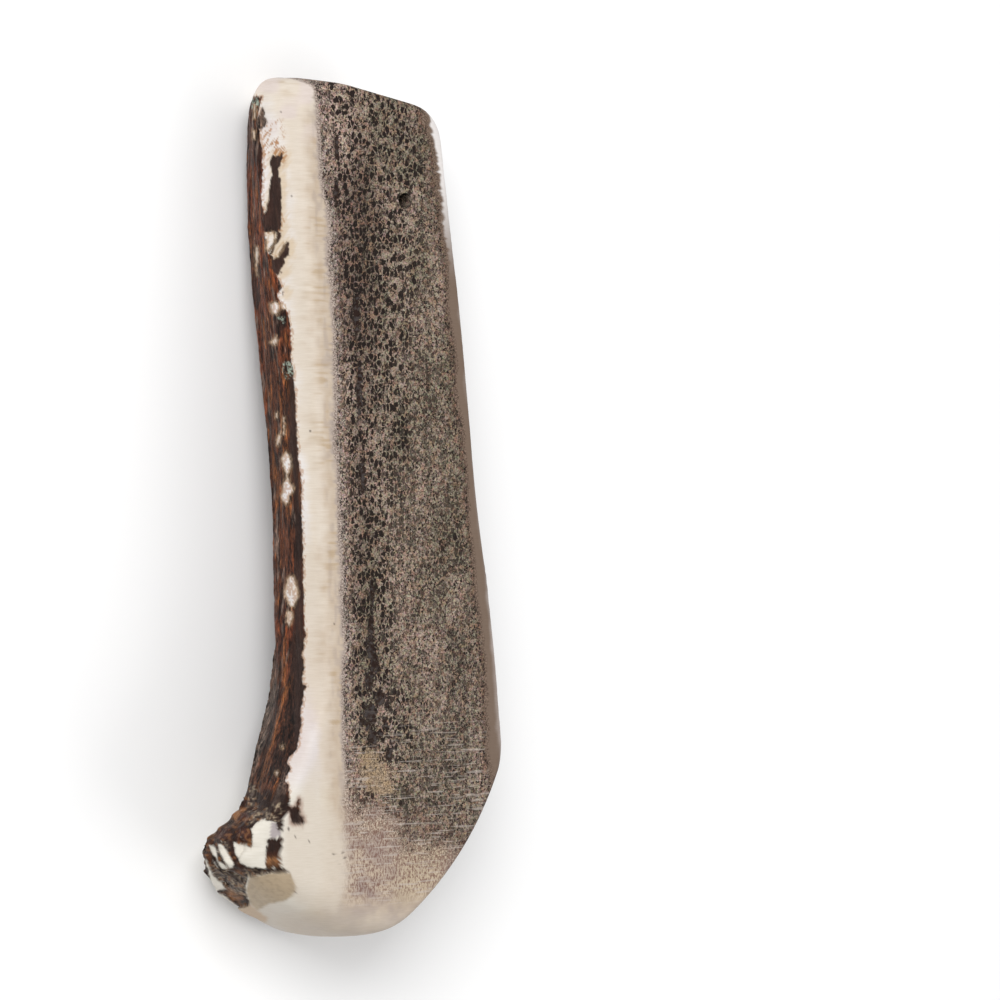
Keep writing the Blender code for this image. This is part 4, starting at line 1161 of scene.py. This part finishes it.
class Nodes:
    """Short names for building a material's node tree."""

    def __init__(self, tree):
        self.tree = tree

    def add(self, kind, **settings):
        node = self.tree.nodes.new(kind)
        for key, value in settings.items():
            setattr(node, key, value)
        return node

    def put(self, socket, value):
        if hasattr(value, "is_output") or isinstance(value, bpy.types.NodeSocket):
            self.tree.links.new(value, socket)
        else:
            socket.default_value = value

    def attribute(self, name, output="Fac"):
        return self.add("ShaderNodeAttribute", attribute_name=name).outputs[output]

    def math(self, operation, a, b=0.0, clamp=False):
        node = self.add("ShaderNodeMath", operation=operation, use_clamp=clamp)
        self.put(node.inputs[0], a)
        self.put(node.inputs[1], b)
        return node.outputs[0]

    def scaled(self, vector, scale):
        node = self.add("ShaderNodeVectorMath", operation="MULTIPLY")
        self.put(node.inputs[0], vector)
        node.inputs[1].default_value = scale
        return node.outputs[0]

    def added(self, a, b):
        node = self.add("ShaderNodeVectorMath", operation="ADD")
        self.put(node.inputs[0], a)
        self.put(node.inputs[1], b)
        return node.outputs[0]

    def noise(self, vector, scale, detail=2.0, roughness=0.5, output="Fac"):
        node = self.add("ShaderNodeTexNoise")
        self.put(node.inputs["Vector"], vector)
        node.inputs["Scale"].default_value = scale
        node.inputs["Detail"].default_value = detail
        node.inputs["Roughness"].default_value = roughness
        return node.outputs[output]

    def cells(self, vector, scale, feature="F1"):
        node = self.add("ShaderNodeTexVoronoi", feature=feature)
        self.put(node.inputs["Vector"], vector)
        node.inputs["Scale"].default_value = scale
        return node

    def split(self, value, kind="ShaderNodeSeparateColor"):
        node = self.add(kind)
        self.put(node.inputs[0], value)
        return node.outputs

    def ramp(self, value, low, high, start=0.0, end=1.0):
        node = self.add("ShaderNodeMapRange", interpolation_type="SMOOTHSTEP")
        self.put(node.inputs["Value"], value)
        self.put(node.inputs["From Min"], low)
        self.put(node.inputs["From Max"], high)
        self.put(node.inputs["To Min"], start)
        self.put(node.inputs["To Max"], end)
        return node.outputs[0]

    def mix(self, share, a, b, blend_type="MIX"):
        node = self.add("ShaderNodeMix", data_type="RGBA", blend_type=blend_type)
        self.put(node.inputs[0], share)
        self.put(node.inputs[6], a)
        self.put(node.inputs[7], b)
        return node.outputs[2]


def rgba(colour):
    return (*linear(colour), 1.0)


def antler_material():
    made = bpy.data.materials.new("antler")
    made.use_nodes = True
    n = Nodes(made.node_tree)
    shader = made.node_tree.nodes["Principled BSDF"]
    place = n.attribute("place", "Vector")
    tint = n.attribute("tint", "Color")
    bark = n.attribute("bark")
    marrow = n.attribute("marrow")
    coarse = n.attribute("coarse")
    fibrous = n.attribute("fibrous")
    pitted = n.attribute("pitted")
    hollow = n.attribute("hollow")

    # Net of the marrow: thin walls round dark voids, in two sizes; the voids are painted near black as the shade inside
    # the pores, which have only a bump
    warp = n.scaled(n.noise(place, 1.2, 2.0, output="Color"), (0.6, 0.6, 0.6))
    wander = n.math("MULTIPLY", n.math("SUBTRACT", n.noise(place, 1.5, 3.0, 0.75), 0.5), 1.3)
    marrow = n.ramp(n.math("ADD", marrow, wander), 0.4, 0.65)
    marrow = n.math("MULTIPLY", marrow, n.ramp(n.attribute("marrow"), 0.02, 0.12))
    spread = n.added(n.scaled(place, (0.95, 0.66, 0.95)), warp)
    wide = n.cells(spread, 1.05, "DISTANCE_TO_EDGE").outputs["Distance"]
    wide_cell = n.split(n.cells(spread, 1.05).outputs["Color"])
    wide_void = n.math("MULTIPLY", n.ramp(wide, 0.09, 0.15), n.ramp(wide_cell[0], 0.38, 0.48, 0.0, 1.0))
    wide_void = n.math("MULTIPLY", wide_void, n.ramp(coarse, 0.0, 0.8, 0.35, 1.0))
    fine = n.cells(spread, 2.3, "DISTANCE_TO_EDGE").outputs["Distance"]
    fine_cell = n.split(n.cells(spread, 2.3).outputs["Color"])
    fine_void = n.math("MULTIPLY", n.ramp(fine, 0.07, 0.14), n.ramp(fine_cell[0], 0.4, 0.6, 0.0, 1.0))
    patches = n.noise(place, 0.35, 2.0)
    fine_void = n.math("MULTIPLY", fine_void, n.ramp(patches, 0.35, 0.65, 0.75, 1.0))
    single = n.cells(spread, 0.6)
    single_cell = n.split(single.outputs["Color"])
    single_size = n.ramp(single_cell[0], 0.55, 1.0, 0.0, 0.34)
    single_void = n.ramp(n.math("SUBTRACT", single.outputs["Distance"], single_size), 0.04, -0.05)
    single_void = n.math("MULTIPLY", single_void, n.ramp(coarse, 0.1, 0.6, 0.3, 1.0))
    voids = n.math("MAXIMUM", n.math("MAXIMUM", wide_void, fine_void), single_void)
    voids = n.math("MULTIPLY", voids, marrow)

    grain = n.noise(place, 2.7, 3.0, 0.8)
    lit = n.mix(n.ramp(grain, 0.36, 0.66), (0.36, 0.32, 0.3, 1), (1.38, 1.38, 1.38, 1))
    grainy = n.ramp(n.attribute("marrow"), 0.02, 0.25)
    flesh = n.mix(grainy, (1, 1, 1, 1), lit)
    brownish = n.math("MULTIPLY", n.ramp(n.noise(place, 0.55, 3.0, 0.6), 0.45, 0.62, 0.0, 0.55), marrow)
    colour = n.mix(1.0, n.mix(brownish, tint, rgba(WALL_BROWN)), flesh, "MULTIPLY")
    # painted shade inside the pores
    colour = n.mix(n.math("MULTIPLY", voids, n.ramp(grain, 0.55, 0.8, 0.98, 0.75)), colour, rgba(PORE_SHADE))
    hues = n.noise(place, 1.7, 2.0, 0.7, output="Color")
    colour = n.mix(n.math("MULTIPLY", marrow, 0.35), colour, hues, "OVERLAY")
    # Painted shade in the hollows of the marrow, from black to grey, over the shallow dip that the mesh has there
    jagged = n.math("MULTIPLY", n.math("SUBTRACT", n.noise(place, 1.4, 4.0, 0.7), 0.5), 2.2)
    shaded_hollow = n.ramp(n.math("ADD", hollow, jagged), 0.42, 0.56)
    shaded_hollow = n.math("MULTIPLY", shaded_hollow, n.ramp(hollow, 0.05, 0.25))
    inner = n.mix(n.ramp(n.noise(place, 1.1, 2.0), 0.45, 0.65), rgba(BLACK), rgba(HOLLOW_SHADE_GREY))
    colour = n.mix(n.math("MULTIPLY", shaded_hollow, 0.95), colour, inner)

    # Small pits and stains where the marrow gives way to solid bone
    pits = n.ramp(n.noise(n.scaled(place, (2.6, 1.0, 2.6)), 1.0, 3.0, 0.75), 0.46, 0.58)
    colour = n.mix(n.math("MULTIPLY", n.math("MULTIPLY", pits, pitted), 0.85), colour, rgba(PIT))

    # Lines of the saw across the lower part of the sawn face
    height_up = n.split(place, "ShaderNodeSeparateXYZ")[1]
    sawn = n.ramp(n.noise(n.scaled(place, (0.06, 2.2, 0.06)), 1.0, 2.0, 0.6), 0.52, 0.6)
    broken = n.ramp(n.noise(n.scaled(place, (0.25, 0.8, 0.25)), 1.0, 2.0), 0.44, 0.58)
    sawn = n.math("MULTIPLY", n.math("MULTIPLY", sawn, broken), n.ramp(height_up, 52.0, 38.0, 0.0, 0.55))
    sawn = n.math("MULTIPLY", sawn, n.ramp(n.math("MAXIMUM", marrow, pitted), 0.0, 0.2))
    colour = n.mix(sawn, colour, rgba(SAWN_LIGHT))

    # Fine lines of the sanding on the bone
    strokes = n.noise(n.scaled(place, (0.35, 5.0, 0.35)), 1.0, 3.0, 0.6)
    smooth_bone = n.math("SUBTRACT", 1.0, n.math("MAXIMUM", bark, marrow), clamp=True)
    lines = n.mix(n.ramp(strokes, 0.3, 0.7), (0.95, 0.94, 0.92, 1), (1.03, 1.03, 1.03, 1))
    colour = n.mix(smooth_bone, colour, n.mix(1.0, colour, lines, "MULTIPLY"))

    # Fibres of the bark: the brightest get a painted highlight, a glossy sheen, and the lowest are darkened near black
    broad = n.noise(n.scaled(place, (1.4, 0.22, 1.4)), 1.0, 3.0, 0.6)
    narrow = n.noise(n.scaled(place, (3.6, 0.75, 3.6)), 1.0, 4.0, 0.7)
    fibres = n.math("ADD", n.math("MULTIPLY", broad, 0.5), n.math("MULTIPLY", narrow, 0.5))
    fibre_highlight_and_dark = n.mix(n.ramp(fibres, 0.43, 0.52), (0.13, 0.11, 0.1, 1), (1.0, 1.0, 1.0, 1))
    fibre_highlight_and_dark = n.mix(n.ramp(fibres, 0.54, 0.62), fibre_highlight_and_dark, (2.6, 2.5, 2.4, 1))
    colour = n.mix(fibrous, colour, n.mix(1.0, colour, fibre_highlight_and_dark, "MULTIPLY"))
    n.put(shader.inputs["Base Color"], colour)
    shader.inputs["Specular IOR Level"].default_value = 0.2

    rough = n.ramp(marrow, 0.0, 1.0, 0.5, 0.9)
    rough = n.math("SUBTRACT", rough, n.math("MULTIPLY", bark, n.ramp(fibres, 0.4, 0.65, -0.1, 0.1)))
    n.put(shader.inputs["Roughness"], rough)

    height = n.math("MULTIPLY", n.math("MAXIMUM", voids, shaded_hollow), -0.35)
    height = n.math("ADD", height, n.math("MULTIPLY", n.math("MULTIPLY", grain, marrow), 0.15))
    height = n.math("ADD", height, n.math("MULTIPLY", n.math("MULTIPLY", fibres, bark), 0.8))
    height = n.math("ADD", height, n.math("MULTIPLY", n.math("MULTIPLY", strokes, smooth_bone), 0.04))
    bump = n.add("ShaderNodeBump")
    bump.inputs["Strength"].default_value = 0.9
    bump.inputs["Distance"].default_value = 1.0 * MM
    n.put(bump.inputs["Height"], height)
    n.put(shader.inputs["Normal"], bump.outputs["Normal"])
    return made


def plain_material(name, brightness, roughness):
    made = bpy.data.materials.new(name)
    made.use_nodes = True
    shader = made.node_tree.nodes["Principled BSDF"]
    shader.inputs["Base Color"].default_value = (brightness, brightness, brightness, 1)
    shader.inputs["Roughness"].default_value = roughness
    return made


def studio():
    """Floor, lights, world and camera."""
    bpy.ops.mesh.primitive_plane_add(size=6.0)
    floor_plane = bpy.context.object
    floor_plane.name = "floor"
    floor_plane.data.materials.append(plain_material("floor", 0.93, 0.9))
    world = bpy.context.scene.world or bpy.data.worlds.new("studio")
    bpy.context.scene.world = world
    world.use_nodes = True
    background = world.node_tree.nodes["Background"]
    background.inputs["Color"].default_value = (1, 1, 1, 1)
    background.inputs["Strength"].default_value = 0.55
    for name, location, size, power in (
        ("key", (-0.55, 0.45, 0.9), 0.55, 9.0),
        ("fill", (0.7, -0.5, 0.8), 0.8, 3.0),
    ):
        light = bpy.data.lights.new(name, "AREA")
        light.size = size
        light.energy = power
        lamp = bpy.data.objects.new(name, light)
        lamp.location = location
        toward = -np.array(location)
        lamp.rotation_mode = "QUATERNION"
        lamp.rotation_quaternion = Vector(toward).to_track_quat("-Z", "Y")
        bpy.context.scene.collection.objects.link(lamp)
    camera = bpy.data.cameras.new("camera")
    camera.sensor_width = SENSOR
    camera.lens = SENSOR * VIEW_DISTANCE / VIEW_WIDTH
    camera.clip_start = 0.05
    camera.clip_end = 20
    eye = bpy.data.objects.new("camera", camera)
    sideways = np.array([cos(VIEW_TURN), 0, sin(VIEW_TURN)])
    outward = np.array([-sin(VIEW_TURN), 0, cos(VIEW_TURN)])
    own = VIEW_ACROSS * sideways + np.array([0, VIEW_ALONG, 0]) + VIEW_DISTANCE * outward
    eye.location = to_world(own[None])[0]
    eye.rotation_mode = "XYZ"
    turn = Matrix.Rotation(-REST_PITCH, 3, "X") @ Matrix.Rotation(-VIEW_TURN, 3, "Y")
    eye.rotation_euler = turn.to_euler()
    bpy.context.scene.collection.objects.link(eye)
    bpy.context.scene.camera = eye
    bpy.context.scene.view_settings.view_transform = "Standard"


bark_and_bone = antler_material()
for piece in pieces_of(closed_mesh(), bark_and_bone):
    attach(piece, "root")
    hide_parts("antler")
studio()
